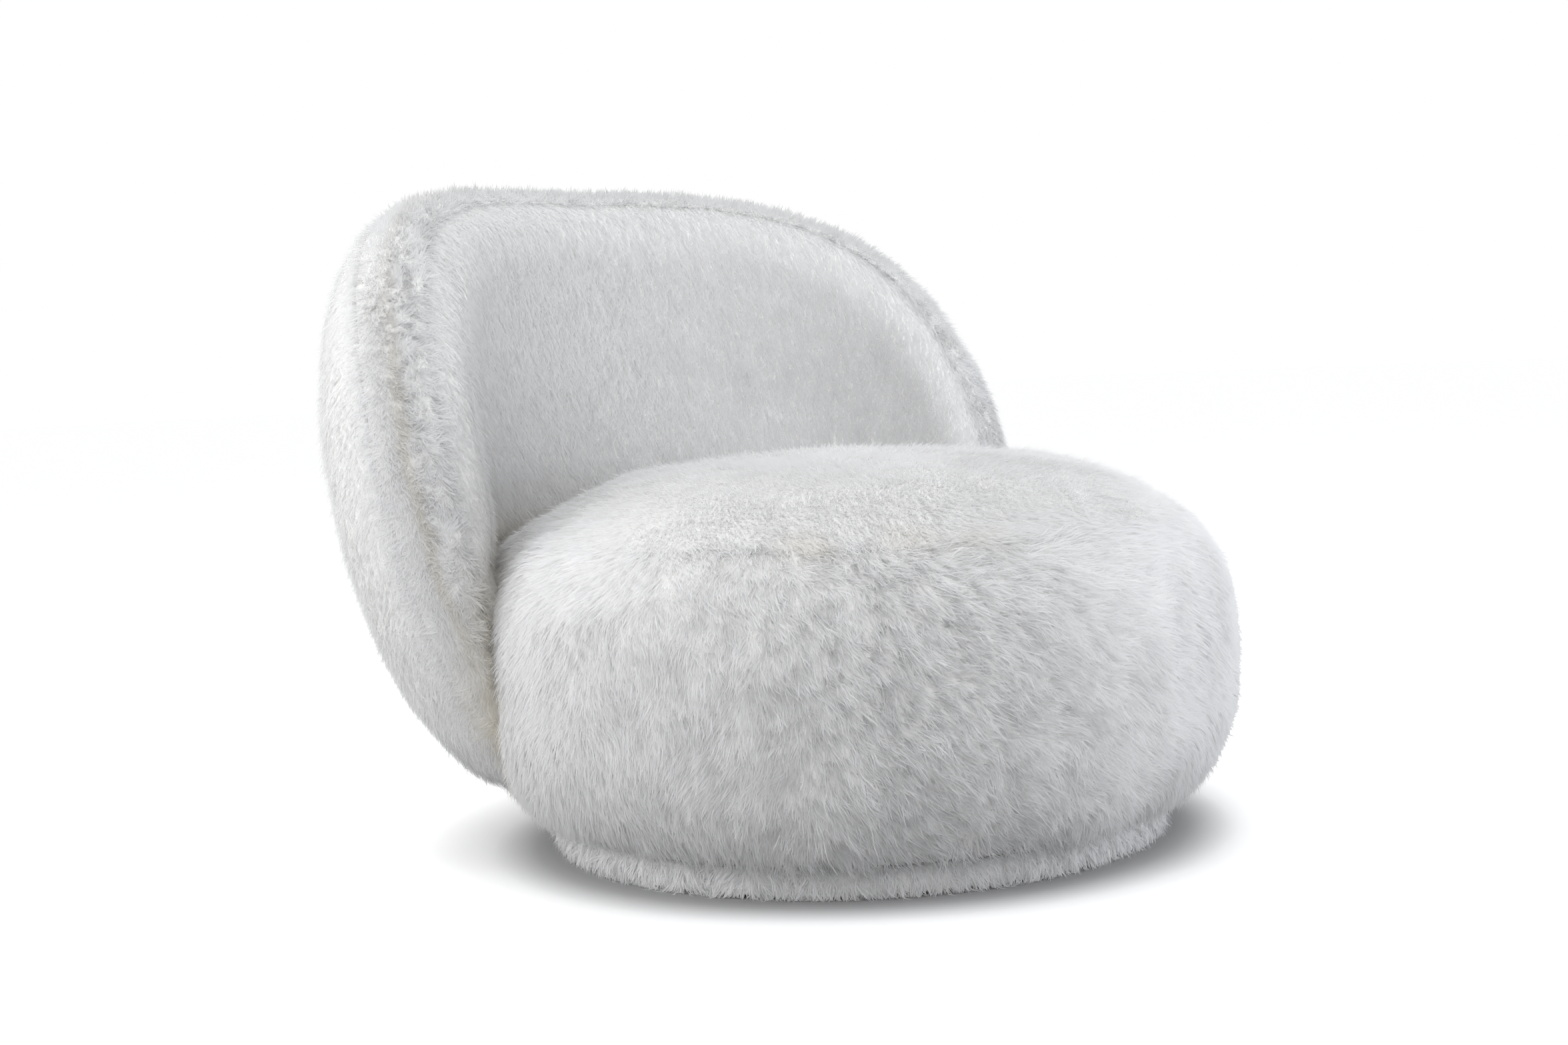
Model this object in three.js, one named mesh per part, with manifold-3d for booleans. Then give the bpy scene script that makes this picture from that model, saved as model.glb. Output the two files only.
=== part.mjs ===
// A plump lounge chair covered all over in long white sheepskin. A squashed ball of a seat and a thick
// back bent round its rear are one upper body, which turns on a low round plinth.
// Millimetres, +Z up, the front faces -Y, and the origin is on the floor under the middle of the chair.
import * as THREE from 'three';
import { mergeVertices } from 'three/addons/utils/BufferGeometryUtils.js';
import Module from 'manifold-3d';

const wasm = await Module();
wasm.setup();

// Gaps and cuts
const clearance = 0.3;
const cutOverrun = 3;
const weldDistance = 0.0001;

// Seat: a squashed ball, its crest and equator above the floor, and how far the full ball would reach down
const seatRadius = 422;
const seatCrestHeight = 420;
const seatEquatorHeight = 206;
const seatFootDrop = 238;
const seatFullness = 2.8;
const seatSeamDrop = 73;
const seatFurDepth = 20;
const seatUnderFurDepth = 6;
const seatUnderFurLap = 24;
const sideFoamPlay = 2;
const sideFoamFootWidth = 8.5;

// Back: a slab laid out flat as an arch, bent round the seat, and drawn in to its foot like a bowl
const backHeight = 748;
const backMiddleReach = 64;
const backThickness = 168;
const backWrapDegrees = 74.4;
const backFootHeight = 83;
const backFootTuck = 121;
const backUprightRise = 90;
const backBowlFullness = 1.85;
const backArchSquareness = 3.4;
const backArchRoundness = 2.35;
const backEdgeFlattening = 3;
const backFurDepth = 20;
const backBoardThickness = 4;
const backFootCoreShare = 0.6;
const edgeBandHalfTurnDegrees = 28;

// Back frame
const frameDepth = 12.6;
const framePlay = 6.5;
const railHeight = 60;
const railWrapMarginDegrees = 16.4;
const archRailWidth = 40;
const archRailPlay = 2;
const ribWidth = 40;
const ribWrapShares = [-0.43, 0, 0.43];
const ribTopPlay = 3;

// Plinth
const plinthTuck = 81;
const plinthFurDepth = 12;
const plinthTopFurDepth = 6.5;
const plinthTopFurWidth = 41;
const plinthHemHeight = 1;
const plinthEdgeRound = 9;
const plinthBoardThickness = 24;
const plinthCoverThickness = 1;
const plinthCoverMargin = 12;
const glideRadius = 18;
const glideHeight = 5;
const glideCount = 6;
const glideInset = 24;

// Swivel bearing
const runningGap = 3;
const plateRadius = 150;
const plateThickness = 2.5;
const ballCount = 6;
const ballPlay = 0.35;
const raceLipOffset = 7;
const raceLipThickness = 2;
const raceLipHeight = 2.6;
const cageHalfWidth = 14;
const cageBoltGap = 2;
const cageThickness = 1.5;
const cagePocketPlay = 0.5;
const pivotRadius = 8;
const pivotHeadRadius = 15;
const pivotHeadHeight = 5;
const pivotNutHeight = 8;
const pivotTipLength = 2;
const pivotPlay = 0.8;

// Bolts
const boltRadius = 2.5;
const boltHeadRadius = 5;
const boltHeadHeight = 3;
const boltLength = 15;
const boltPlay = 0.6;
const boltEdgeMargin = 9;
const platesBoltCount = 4;

// Seat frame and springing
const seatBoardThickness = 18;
const seatBoardHoleRadius = 24;
const hoopInset = 2;
const hoopThickness = 12;
const seatDeckDrop = 164;
const deckThickness = 18;
const deckWidth = 62;
const strapWidth = 50;
const strapThickness = 1.8;
const strapSpacing = 110;
const strapsAcross = 3;
const strapsAlong = 2;
const strapEndMargin = 34;
const dustClothThickness = 1.2;
const dustClothInnerMargin = 10;

// Brackets that carry the back
const bracketWrapShares = [-0.776, 0, 0.776];
const bracketWidth = 40;
const bracketThickness = 4;
const bracketBoltHoopGap = 3;
const bracketEndLap = 22;
const bracketEndPlay = 4;

// Facet counts
const skinSides = 44;
const frameSides = 36;
const boltSides = 8;
const holeSides = 12;
const seatSideRings = 7;
const seatFoamRings = 4;
const seatTopRings = 4;
const rimSteps = 24;
const rimTrialSteps = 400;
const railSteps = 14;
const flatShares = [0.36, 0.68, 0.86, 0.96, 1];
const roundShares = [0.5, 1];

// Sizes worked out from the ones above
const quarterTurn = Math.PI / 2;
const rad = THREE.MathUtils.degToRad;
const plinthRadius = seatRadius - plinthTuck;
const plinthBoardBottom = glideHeight + clearance;
const plinthBoardTop = plinthBoardBottom + plinthBoardThickness;
const plinthBoardRadius = plinthRadius - plinthFurDepth - clearance;
const plinthTop = plinthBoardTop + clearance + plinthTopFurDepth;
const seatUnderside = plinthTop + runningGap;
const seatUnderFurTop = seatUnderside + seatUnderFurDepth;
const seatCrestRise = seatCrestHeight - seatEquatorHeight;
const undersideTurn = seatTurnAt(seatUnderside);
const seamTurn = seatTurnAt(seatCrestHeight - seatSeamDrop);
const seamHalfGap = clearance / seatRadius;
const seatFoamOutset = seatFurDepth + clearance;
const seatJoinHeight = seatPoint(seamTurn, seatFoamOutset)[1];
const seatBoardRadius = seatPoint(undersideTurn, seatFoamOutset)[0] - sideFoamFootWidth;
const seatUnderFurInnerRadius = seatBoardRadius - seatUnderFurLap;
const seatBoardBottom = seatUnderFurTop + clearance;
const seatBoardTop = seatBoardBottom + seatBoardThickness;
const lowerPlateBottom = plinthBoardTop + clearance;
const lowerPlateTop = lowerPlateBottom + plateThickness;
const upperPlateTop = seatBoardBottom - clearance;
const upperPlateBottom = upperPlateTop - plateThickness;
const ballHeight = (lowerPlateTop + upperPlateBottom) / 2;
const ballRadius = (upperPlateBottom - lowerPlateTop) / 2 - ballPlay;
const boltCircleRadius = plateRadius - boltEdgeMargin;
const ballCircleRadius = boltCircleRadius - boltHeadRadius - cageBoltGap - cageHalfWidth;
const deckHeight = seatCrestHeight - seatDeckDrop;
const deckBottom = deckHeight - deckThickness;
const deckInnerRadius = seatBoardRadius - deckWidth;
const hoopOuterRadius = seatBoardRadius - hoopInset;
const bracketBottom = deckHeight + clearance;
const bracketTop = bracketBottom + bracketThickness;
const bracketBoltRadius = hoopOuterRadius - hoopThickness - bracketBoltHoopGap - boltHeadRadius;
const bracketInnerRadius = bracketBoltRadius - bracketEndLap;
const backMidRadius = seatRadius + backMiddleReach;
const backFootRadius = seatRadius - backFootTuck;
const backUprightHeight = seatCrestHeight + backUprightRise;
const backOuterRadius = backMidRadius + backThickness / 2;
const backEdgeDepth = backThickness / 2 - backEdgeFlattening;
const backWrap = rad(backWrapDegrees);
const backFoamOuter = backFurDepth + 2 * clearance;
const backBoardInner = (backThickness - frameDepth) / 2 - framePlay;
const backBoardOuter = backBoardInner - backBoardThickness;
const backFoamInner = backBoardOuter - clearance;
const railBottom = bracketTop + clearance;
const railTop = railBottom + railHeight;
const railWrapDegrees = backWrapDegrees - railWrapMarginDegrees;
const bracketDegrees = bracketWrapShares.map((share) => share * railWrapDegrees);
const archRailOuterInset = backEdgeDepth + archRailPlay;
const archRailInnerInset = archRailOuterInset + archRailWidth;
const chairDepth = backOuterRadius + seatRadius;
const pivotAxisY = seatRadius - chairDepth / 2;

// Finishes
const sheepskin = () => new THREE.MeshStandardMaterial({ color: 0xf1f0ec, roughness: 0.95, metalness: 0 });
const foam = () => new THREE.MeshStandardMaterial({ color: 0xe6dcae, roughness: 0.9, metalness: 0 });
const plywood = () => new THREE.MeshStandardMaterial({ color: 0xc9a873, roughness: 0.7, metalness: 0 });
const hardboard = () => new THREE.MeshStandardMaterial({ color: 0x9b7448, roughness: 0.8, metalness: 0 });
const webbing = () => new THREE.MeshStandardMaterial({ color: 0x3b3a38, roughness: 0.9, metalness: 0 });
const blackCloth = () => new THREE.MeshStandardMaterial({ color: 0x232323, roughness: 0.95, metalness: 0 });
const zincSteel = () => new THREE.MeshStandardMaterial({ color: 0xb4b6b8, roughness: 0.4, metalness: 0.9 });
const ballSteel = () => new THREE.MeshStandardMaterial({ color: 0xd3d5d8, roughness: 0.15, metalness: 1 });
const nylon = () => new THREE.MeshStandardMaterial({ color: 0x2b2b2c, roughness: 0.5, metalness: 0 });

// Closed shapes and cuts

function weld(geometry) {
  const bare = geometry.clone();
  bare.deleteAttribute('normal');
  bare.deleteAttribute('uv');
  const merged = mergeVertices(bare, weldDistance);
  const corners = merged.index.array;
  const kept = [];
  for (let i = 0; i < corners.length; i += 3) {
    const [a, b, c] = [corners[i], corners[i + 1], corners[i + 2]];
    if (a !== b && b !== c && c !== a) kept.push(a, b, c);
  }
  merged.setIndex(kept);
  return merged;
}

function enclosedVolume(geometry) {
  const places = geometry.attributes.position;
  const corners = geometry.index.array;
  const [a, b, c] = [new THREE.Vector3(), new THREE.Vector3(), new THREE.Vector3()];
  let total = 0;
  for (let i = 0; i < corners.length; i += 3) {
    a.fromBufferAttribute(places, corners[i]);
    b.fromBufferAttribute(places, corners[i + 1]);
    c.fromBufferAttribute(places, corners[i + 2]);
    total += a.dot(b.cross(c)) / 6;
  }
  return total;
}

// Welds a shape and turns its faces outwards
function closed(geometry) {
  const shape = weld(geometry);
  if (enclosedVolume(shape) < 0) shape.setIndex(Array.from(shape.index.array).reverse());
  return shape;
}

function toSolid(geometry) {
  return new wasm.Manifold(new wasm.Mesh({
    numProp: 3,
    vertProperties: new Float32Array(geometry.attributes.position.array),
    triVerts: new Uint32Array(geometry.index.array),
  }));
}

function cut(geometry, tools) {
  let solid = toSolid(geometry);
  for (const tool of tools) solid = solid.subtract(toSolid(tool));
  const mesh = solid.getMesh();
  const result = new THREE.BufferGeometry();
  result.setAttribute('position', new THREE.BufferAttribute(new Float32Array(mesh.vertProperties), 3));
  result.setIndex(Array.from(mesh.triVerts));
  return result;
}

// Turns an outline of [radius, height] points about the upright axis. One off the axis closes on itself.
function turned(outline, sides) {
  const points = outline.map(([radius, height]) => new THREE.Vector2(radius, height));
  if (outline[0][0] > 0) points.push(points[0].clone());
  return closed(new THREE.LatheGeometry(points, sides).rotateX(quarterTurn));
}

function ring(inner, outer, bottom, top, sides) {
  return turned([[inner, bottom], [outer, bottom], [outer, top], [inner, top]], sides);
}

function disc(radius, bottom, top, sides) {
  return turned([[0, bottom], [radius, bottom], [radius, top], [0, top]], sides);
}

function block(width, depth, bottom, top) {
  return closed(new THREE.BoxGeometry(width, depth, top - bottom).translate(0, 0, (top + bottom) / 2));
}

// A sheet of cloth, foam or board from two grids of points, its front and its back face. Its two halves
// mirror each other, down to the way that their squares are split.
function thickSheet(front, back) {
  const rows = front.length;
  const columns = front[0].length;
  const places = [...front.flat(), ...back.flat()].flat();
  const at = (side, row, column) => side * rows * columns + row * columns + column;
  const faces = [];
  const quad = (a, b, c, d) => faces.push(a, b, c, a, c, d);
  const last = columns - 1;
  for (let i = 0; i + 1 < rows; i++) {
    const split = 2 * i + 2 < rows ? (a, b, c, d) => quad(b, c, d, a) : quad;
    for (let j = 0; j + 1 < columns; j++) {
      split(at(0, i, j), at(0, i, j + 1), at(0, i + 1, j + 1), at(0, i + 1, j));
      split(at(1, i, j), at(1, i + 1, j), at(1, i + 1, j + 1), at(1, i, j + 1));
    }
    split(at(0, i, 0), at(0, i + 1, 0), at(1, i + 1, 0), at(1, i, 0));
    split(at(0, i, last), at(1, i, last), at(1, i + 1, last), at(0, i + 1, last));
  }
  for (let j = 0; j + 1 < columns; j++) {
    quad(at(0, 0, j + 1), at(0, 0, j), at(1, 0, j), at(1, 0, j + 1));
    quad(at(0, rows - 1, j), at(0, rows - 1, j + 1), at(1, rows - 1, j + 1), at(1, rows - 1, j));
  }
  const geometry = new THREE.BufferGeometry();
  geometry.setAttribute('position', new THREE.Float32BufferAttribute(places, 3));
  geometry.setIndex(faces);
  return closed(geometry);
}

// Whole numbers from 0 up to count
function steps(count) {
  return Array.from({ length: count + 1 }, (_, i) => i);
}

function spread(from, to, count) {
  return steps(count).map((i) => from + ((to - from) * i) / count);
}

// Each copy of a round pattern, as its angle
function aroundCircle(count, firstShare) {
  return steps(count - 1).map((i) => ((i + firstShare) / count) * Math.PI * 2);
}

// Seat ball: its side outline by a turn from the equator, up to the crest or down to the foot

function seatPoint(turn, inset) {
  const rise = (turn > 0 ? seatCrestRise : seatFootDrop) - inset;
  const up = Math.sign(turn) * rise * Math.abs(Math.sin(turn)) ** (2 / seatFullness);
  const out = turn < quarterTurn ? (seatRadius - inset) * Math.cos(turn) ** (2 / seatFullness) : 0;
  return [out, seatEquatorHeight + up];
}

function seatTurnAt(height) {
  const away = height - seatEquatorHeight;
  const rise = away > 0 ? seatCrestRise : seatFootDrop;
  return Math.sign(away) * Math.asin((Math.abs(away) / rise) ** (seatFullness / 2));
}

function seatSideFur() {
  const turns = spread(undersideTurn, seamTurn - seamHalfGap, seatSideRings);
  const outside = turns.map((turn) => seatPoint(turn, 0));
  const inside = turns.map((turn) => seatPoint(turn, seatFurDepth)).reverse();
  const underFur = [
    [seatBoardRadius + clearance, seatUnderFurTop],
    [seatUnderFurInnerRadius, seatUnderFurTop],
    [seatUnderFurInnerRadius, seatUnderside],
  ];
  return cut(turned([...outside, ...inside, ...underFur], skinSides), bracketSlots());
}

function seatTopFur() {
  const turns = spread(seamTurn + seamHalfGap, quarterTurn, seatTopRings);
  const outside = turns.map((turn) => seatPoint(turn, 0));
  const inside = turns.map((turn) => seatPoint(turn, seatFurDepth)).reverse();
  return turned([...inside, ...outside], skinSides);
}

function seatFoamTopper() {
  const turns = spread(seamTurn, quarterTurn, seatTopRings);
  const dome = turns.map((turn) => seatPoint(turn, seatFoamOutset));
  return turned([[0, seatJoinHeight], ...dome], skinSides);
}

function seatSideFoam() {
  const turns = spread(undersideTurn, seamTurn, seatFoamRings);
  const outside = turns.map((turn) => seatPoint(turn, seatFoamOutset + sideFoamPlay));
  const [, bottom] = outside[0];
  const [topRadius] = outside[outside.length - 1];
  outside[outside.length - 1] = [topRadius, seatJoinHeight - clearance];
  const inner = seatBoardRadius + 2 * clearance;
  const inside = [[inner, seatJoinHeight - clearance], [inner, bottom]];
  return cut(turned([...outside, ...inside], skinSides), bracketSlots());
}

// The whole ball, a little swollen, to cut its shape out of what lies against it
function seatBallTool() {
  const side = spread(undersideTurn, seamTurn, seatSideRings);
  const top = spread(seamTurn, quarterTurn, seatTopRings).slice(1);
  const outline = [...side, ...top].map((turn) => seatPoint(turn, -clearance));
  return turned([[0, outline[0][1]], ...outline], skinSides);
}

// Back slab. A place on it is a turn along the arch's rim, and a station across the rim: a turn from the
// rim's apex, up to a quarter to the seat side (negative) or the outer side, and then a share of the way
// down.

function signedPower(value, power) {
  return Math.sign(value) * Math.abs(value) ** power;
}

function rimPoint(turn, inset) {
  const reach = backMidRadius * backWrap - inset;
  const rise = backHeight - backFootHeight - inset;
  return new THREE.Vector2(
    reach * signedPower(Math.cos(turn), 2 / backArchSquareness),
    backFootHeight + rise * Math.abs(Math.sin(turn)) ** (2 / backArchRoundness),
  );
}

function rimHeightAt(along, inset) {
  const reach = backMidRadius * backWrap - inset;
  const rise = backHeight - backFootHeight - inset;
  const level = (1 - Math.abs(along / reach) ** backArchSquareness) ** (1 / backArchRoundness);
  return backFootHeight + rise * level;
}

function rimTurnAt(height, inset) {
  const rise = backHeight - backFootHeight - inset;
  return Math.asin(((height - backFootHeight) / rise) ** (backArchRoundness / 2));
}

// Turns that lie evenly along the rim
function evenRimTurns() {
  const trial = spread(0, Math.PI, rimTrialSteps);
  const spots = trial.map((turn) => rimPoint(turn, 0));
  const run = [0];
  for (let i = 1; i < spots.length; i++) run.push(run[i - 1] + spots[i].distanceTo(spots[i - 1]));
  const whole = run[run.length - 1];
  return steps(rimSteps).map((i) => {
    const wanted = (whole * i) / rimSteps;
    const next = Math.max(1, run.findIndex((length) => length >= wanted - weldDistance));
    const share = (wanted - run[next - 1]) / (run[next] - run[next - 1]);
    return trial[next - 1] + (trial[next] - trial[next - 1]) * share;
  });
}

const rimTurns = evenRimTurns();
const bandTurn = rad(edgeBandHalfTurnDegrees);
const bandHalfGap = clearance / (backEdgeDepth - backFurDepth);

function backMidRadiusAt(height) {
  const span = backUprightHeight - backFootHeight;
  const down = THREE.MathUtils.clamp((backUprightHeight - height) / span, 0, 1);
  const level = (1 - down ** backBowlFullness) ** (1 / backBowlFullness);
  return backFootRadius + (backMidRadius - backFootRadius) * level;
}

function bentPoint(along, height, outward) {
  const radius = backMidRadiusAt(height) + outward;
  const bend = along / backMidRadius;
  return [radius * Math.sin(bend), radius * Math.cos(bend), height];
}

function slabPoint(rimTurn, station, inset) {
  const edge = backEdgeDepth - inset;
  const half = backThickness / 2 - inset;
  const rim = rimPoint(rimTurn, inset);
  const reach = backMidRadius * backWrap;
  const core = new THREE.Vector2(backFootCoreShare * reach * Math.cos(rimTurn), backFootHeight);
  const whole = rim.distanceTo(core);
  const depth = edge * (1 - Math.cos(station.turn)) + (whole - edge) * station.share;
  const spot = rim.lerp(core, depth / whole);
  return bentPoint(spot.x, spot.y, half * Math.sin(station.turn));
}

function slabSheet(stations, outerInset, innerInset) {
  const grid = (inset) => rimTurns.map((turn) => stations.map((station) => slabPoint(turn, station, inset)));
  return thickSheet(grid(outerInset), grid(innerInset));
}

// Stations from some turns off the apex over the rounded edge, and then down the face to the foot. They are
// listed from the seat side to the outer side, so the facets of layers that lie on each other match.
function faceStations(side, firstTurns) {
  const round = roundShares.map((share) => bandTurn + (quarterTurn - bandTurn) * share);
  const turns = [...firstTurns, ...round].map((turn) => ({ turn: side * turn, share: 0 }));
  const face = flatShares.map((share) => ({ turn: side * quarterTurn, share }));
  return side < 0 ? [...turns, ...face].reverse() : [...turns, ...face];
}

function backFaceFur(side) {
  const sheet = slabSheet(faceStations(side, [bandTurn + bandHalfGap]), 0, backFurDepth);
  return cut(sheet, [seatBallTool()]);
}

function backEdgeFur() {
  const ends = bandTurn - bandHalfGap;
  const stations = [-ends, 0, ends].map((turn) => ({ turn, share: 0 }));
  return cut(slabSheet(stations, 0, backFurDepth), [seatBallTool()]);
}

function backFoam(side) {
  const apexGap = clearance / (backEdgeDepth - backFoamInner);
  const stations = faceStations(side, [apexGap, bandTurn]);
  const tools = side < 0 ? [seatBallTool(), ...bracketSlots()] : [seatBallTool()];
  return cut(slabSheet(stations, backFoamOuter, backFoamInner), tools);
}

// The inner board ends on the bottom rail, so the brackets pass under it
function backBoard(side) {
  const shares = side < 0 ? [...flatShares].reverse().concat(0) : [0, ...flatShares];
  const stations = shares.map((share) => ({ turn: side * quarterTurn, share }));
  const underRail = disc(backOuterRadius, backFootHeight - cutOverrun, railBottom, boltSides);
  const tools = side < 0 ? [seatBallTool(), underRail] : [seatBallTool()];
  return cut(slabSheet(stations, backBoardOuter, backBoardInner), tools);
}

// A frame member: columns of [along, height] points, given its depth front to back
function frameMember(columns) {
  const face = (outward) => columns.map((column) => column.map((point) => bentPoint(...point, outward)));
  return thickSheet(face(frameDepth / 2), face(-frameDepth / 2));
}

function backBottomRail() {
  const reach = backMidRadius * rad(railWrapDegrees);
  const heights = [railBottom, (railBottom + railTop) / 2, railTop];
  const columns = spread(-reach, reach, railSteps).map((along) => heights.map((height) => [along, height]));
  return cut(frameMember(columns), [seatBallTool()]);
}

function backArchRail() {
  const edge = (inset) => {
    const low = rimTurnAt(railTop + clearance, inset);
    return spread(low, Math.PI - low, rimSteps).map((turn) => rimPoint(turn, inset).toArray());
  };
  const outer = edge(archRailOuterInset);
  const inner = edge(archRailInnerInset);
  return frameMember(outer.map((point, i) => [point, inner[i]]));
}

function backRib(share) {
  const middle = backMidRadius * backWrap * share;
  const foot = railTop + clearance;
  return frameMember([-ribWidth / 2, ribWidth / 2].map((offset) => {
    const along = middle + offset;
    const top = rimHeightAt(along, archRailInnerInset) - ribTopPlay;
    return spread(foot, top, flatShares.length).map((height) => [along, height]);
  }));
}

// Brackets: flat bars from the deck ring out through the seat's side, under the back's bottom rail

function bracketBar(swell) {
  const outer = backMidRadiusAt(bracketTop) + frameDepth / 2 - bracketEndPlay;
  const length = outer - bracketInnerRadius + 2 * swell;
  return block(bracketWidth + 2 * swell, length, bracketBottom - swell, bracketTop + swell)
    .translate(0, (outer + bracketInnerRadius) / 2, 0);
}

function bracketSlots() {
  return bracketDegrees.map((degrees) => bracketBar(clearance).rotateZ(-rad(degrees)));
}

function bracket() {
  const hole = disc(boltRadius + boltPlay, bracketBottom - cutOverrun, bracketTop + cutOverrun, holeSides);
  return cut(bracketBar(0), [hole.translate(0, bracketBoltRadius, 0)]);
}

// Bolts stand on their head's underside, with the shank pointing down
function bolt(length) {
  return turned([
    [0, -length], [boltRadius, -length], [boltRadius, 0],
    [boltHeadRadius, 0], [boltHeadRadius, boltHeadHeight], [0, boltHeadHeight],
  ], boltSides);
}

function boltHoles(bottom, top) {
  const hole = () => disc(boltRadius + boltPlay, bottom, top, holeSides);
  return aroundCircle(platesBoltCount, 0.5).map((angle) => hole()
    .translate(boltCircleRadius * Math.cos(angle), boltCircleRadius * Math.sin(angle), 0));
}

// Plinth

function plinthBoard() {
  const hole = pivotHeadRadius + pivotPlay;
  const board = ring(hole, plinthBoardRadius, plinthBoardBottom, plinthBoardTop, skinSides);
  return cut(board, boltHoles(plinthBoardTop - boltLength, plinthBoardTop + cutOverrun));
}

function plinthFurBand() {
  const inner = plinthRadius - plinthFurDepth;
  const corner = spread(0, quarterTurn, 2).map((turn) => [
    plinthRadius - plinthEdgeRound * (1 - Math.cos(turn)),
    plinthTop - plinthEdgeRound * (1 - Math.sin(turn)),
  ]);
  const topInner = plinthRadius - plinthTopFurWidth;
  const under = plinthBoardTop + clearance;
  return turned([
    [inner, plinthHemHeight], [plinthRadius, plinthHemHeight], ...corner,
    [topInner, plinthTop], [topInner, under], [inner, under],
  ], skinSides);
}

// Swivel plates: pressed discs with two lips that keep the balls on their circle

function swivelPlate(outward, inward) {
  const lipEnd = inward + Math.sign(inward - outward) * raceLipHeight;
  const lip = (offset) => {
    const near = ballCircleRadius + offset - raceLipThickness / 2;
    const far = near + raceLipThickness;
    return [[near, inward], [near, lipEnd], [far, lipEnd], [far, inward]];
  };
  const hole = pivotRadius + pivotPlay;
  const plate = turned([
    [hole, outward], [hole, inward], ...lip(-raceLipOffset), ...lip(raceLipOffset),
    [plateRadius, inward], [plateRadius, outward],
  ], frameSides);
  const bottom = Math.min(outward, inward) - cutOverrun;
  const top = Math.max(outward, inward) + cutOverrun;
  return cut(plate, boltHoles(bottom, top));
}

function ballCage() {
  const half = cageThickness / 2;
  const cage = ring(ballCircleRadius - cageHalfWidth, ballCircleRadius + cageHalfWidth, ballHeight - half,
    ballHeight + half, frameSides);
  const pocket = () => disc(ballRadius + cagePocketPlay, ballHeight - half - cutOverrun,
    ballHeight + half + cutOverrun, holeSides);
  return cut(cage, aroundCircle(ballCount, 0.5).map((angle) => pocket()
    .translate(ballCircleRadius * Math.cos(angle), ballCircleRadius * Math.sin(angle), 0)));
}

const pivotNutBottom = upperPlateTop + clearance;
const pivotNutTop = pivotNutBottom + pivotNutHeight;

function pivotBolt() {
  const headTop = lowerPlateBottom - clearance;
  const headBottom = headTop - pivotHeadHeight;
  const tip = pivotNutTop + pivotTipLength;
  return turned([
    [0, headBottom], [pivotHeadRadius, headBottom], [pivotHeadRadius, headTop],
    [pivotRadius, headTop], [pivotRadius, tip], [0, tip],
  ], holeSides);
}

// Seat frame

function seatBaseBoard() {
  const board = ring(seatBoardHoleRadius, seatBoardRadius, seatBoardBottom, seatBoardTop, skinSides);
  return cut(board, boltHoles(seatBoardBottom - cutOverrun, seatBoardBottom + boltLength));
}

function seatDeckRing() {
  const deck = ring(deckInnerRadius, seatBoardRadius, deckBottom, deckHeight, skinSides);
  return cut(deck, bracketDegrees.map((degrees) => disc(boltRadius + boltPlay, deckBottom - cutOverrun,
    deckHeight + cutOverrun, holeSides).translate(0, bracketBoltRadius, 0).rotateZ(-rad(degrees))));
}

// A strap's middle line lies so far off the centre, and its corners stay clear of the deck ring's edge
function strap(offset, bottom) {
  const far = Math.abs(offset) + strapWidth / 2;
  const half = Math.sqrt((seatBoardRadius - strapEndMargin) ** 2 - far ** 2);
  return block(2 * half, strapWidth, bottom, bottom + strapThickness).translate(0, offset, 0);
}

// The chair

const chair = new THREE.Group();
const plinth = new THREE.Group();
const bearing = new THREE.Group();
const upperBody = new THREE.Group();
for (const body of [plinth, bearing, upperBody]) {
  body.position.set(0, pivotAxisY, 0);
  chair.add(body);
}

function place(body, name, geometry, material) {
  const mesh = new THREE.Mesh(geometry, material);
  mesh.name = name;
  body.add(mesh);
  return mesh;
}

place(plinth, 'plinth_board', plinthBoard(), plywood());
place(plinth, 'plinth_fur_band', plinthFurBand(), sheepskin());
const plinthCoverTop = plinthBoardBottom - clearance;
const plinthCoverRadius = plinthBoardRadius - glideInset - glideRadius - plinthCoverMargin;
place(plinth, 'plinth_dust_cover',
  disc(plinthCoverRadius, plinthCoverTop - plinthCoverThickness, plinthCoverTop, frameSides), blackCloth());
aroundCircle(glideCount, 0).forEach((angle, i) => {
  const glide = place(plinth, `glide_${i + 1}`, disc(glideRadius, 0, glideHeight, holeSides), nylon());
  const radius = plinthBoardRadius - glideInset;
  glide.position.set(radius * Math.cos(angle), radius * Math.sin(angle), 0);
});
place(plinth, 'swivel_lower_plate', swivelPlate(lowerPlateBottom, lowerPlateTop), zincSteel());
place(plinth, 'pivot_bolt', pivotBolt(), zincSteel());
place(plinth, 'pivot_nut',
  ring(pivotRadius + clearance, pivotHeadRadius, pivotNutBottom, pivotNutTop, holeSides), zincSteel());
aroundCircle(platesBoltCount, 0.5).forEach((angle, i) => {
  const [x, y] = [boltCircleRadius * Math.cos(angle), boltCircleRadius * Math.sin(angle)];
  const lower = place(plinth, `lower_bolt_${i + 1}`, bolt(boltLength), zincSteel());
  lower.position.set(x, y, lowerPlateTop + clearance);
  const upper = place(upperBody, `upper_bolt_${i + 1}`, bolt(boltLength), zincSteel());
  upper.position.set(x, y, upperPlateBottom - clearance);
  upper.rotation.x = Math.PI;
});

place(bearing, 'ball_cage', ballCage(), nylon());
aroundCircle(ballCount, 0.5).forEach((angle, i) => {
  const shape = closed(new THREE.IcosahedronGeometry(ballRadius, 1));
  const ball = place(bearing, `ball_${i + 1}`, shape, ballSteel());
  ball.position.set(ballCircleRadius * Math.cos(angle), ballCircleRadius * Math.sin(angle), ballHeight);
});

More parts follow.
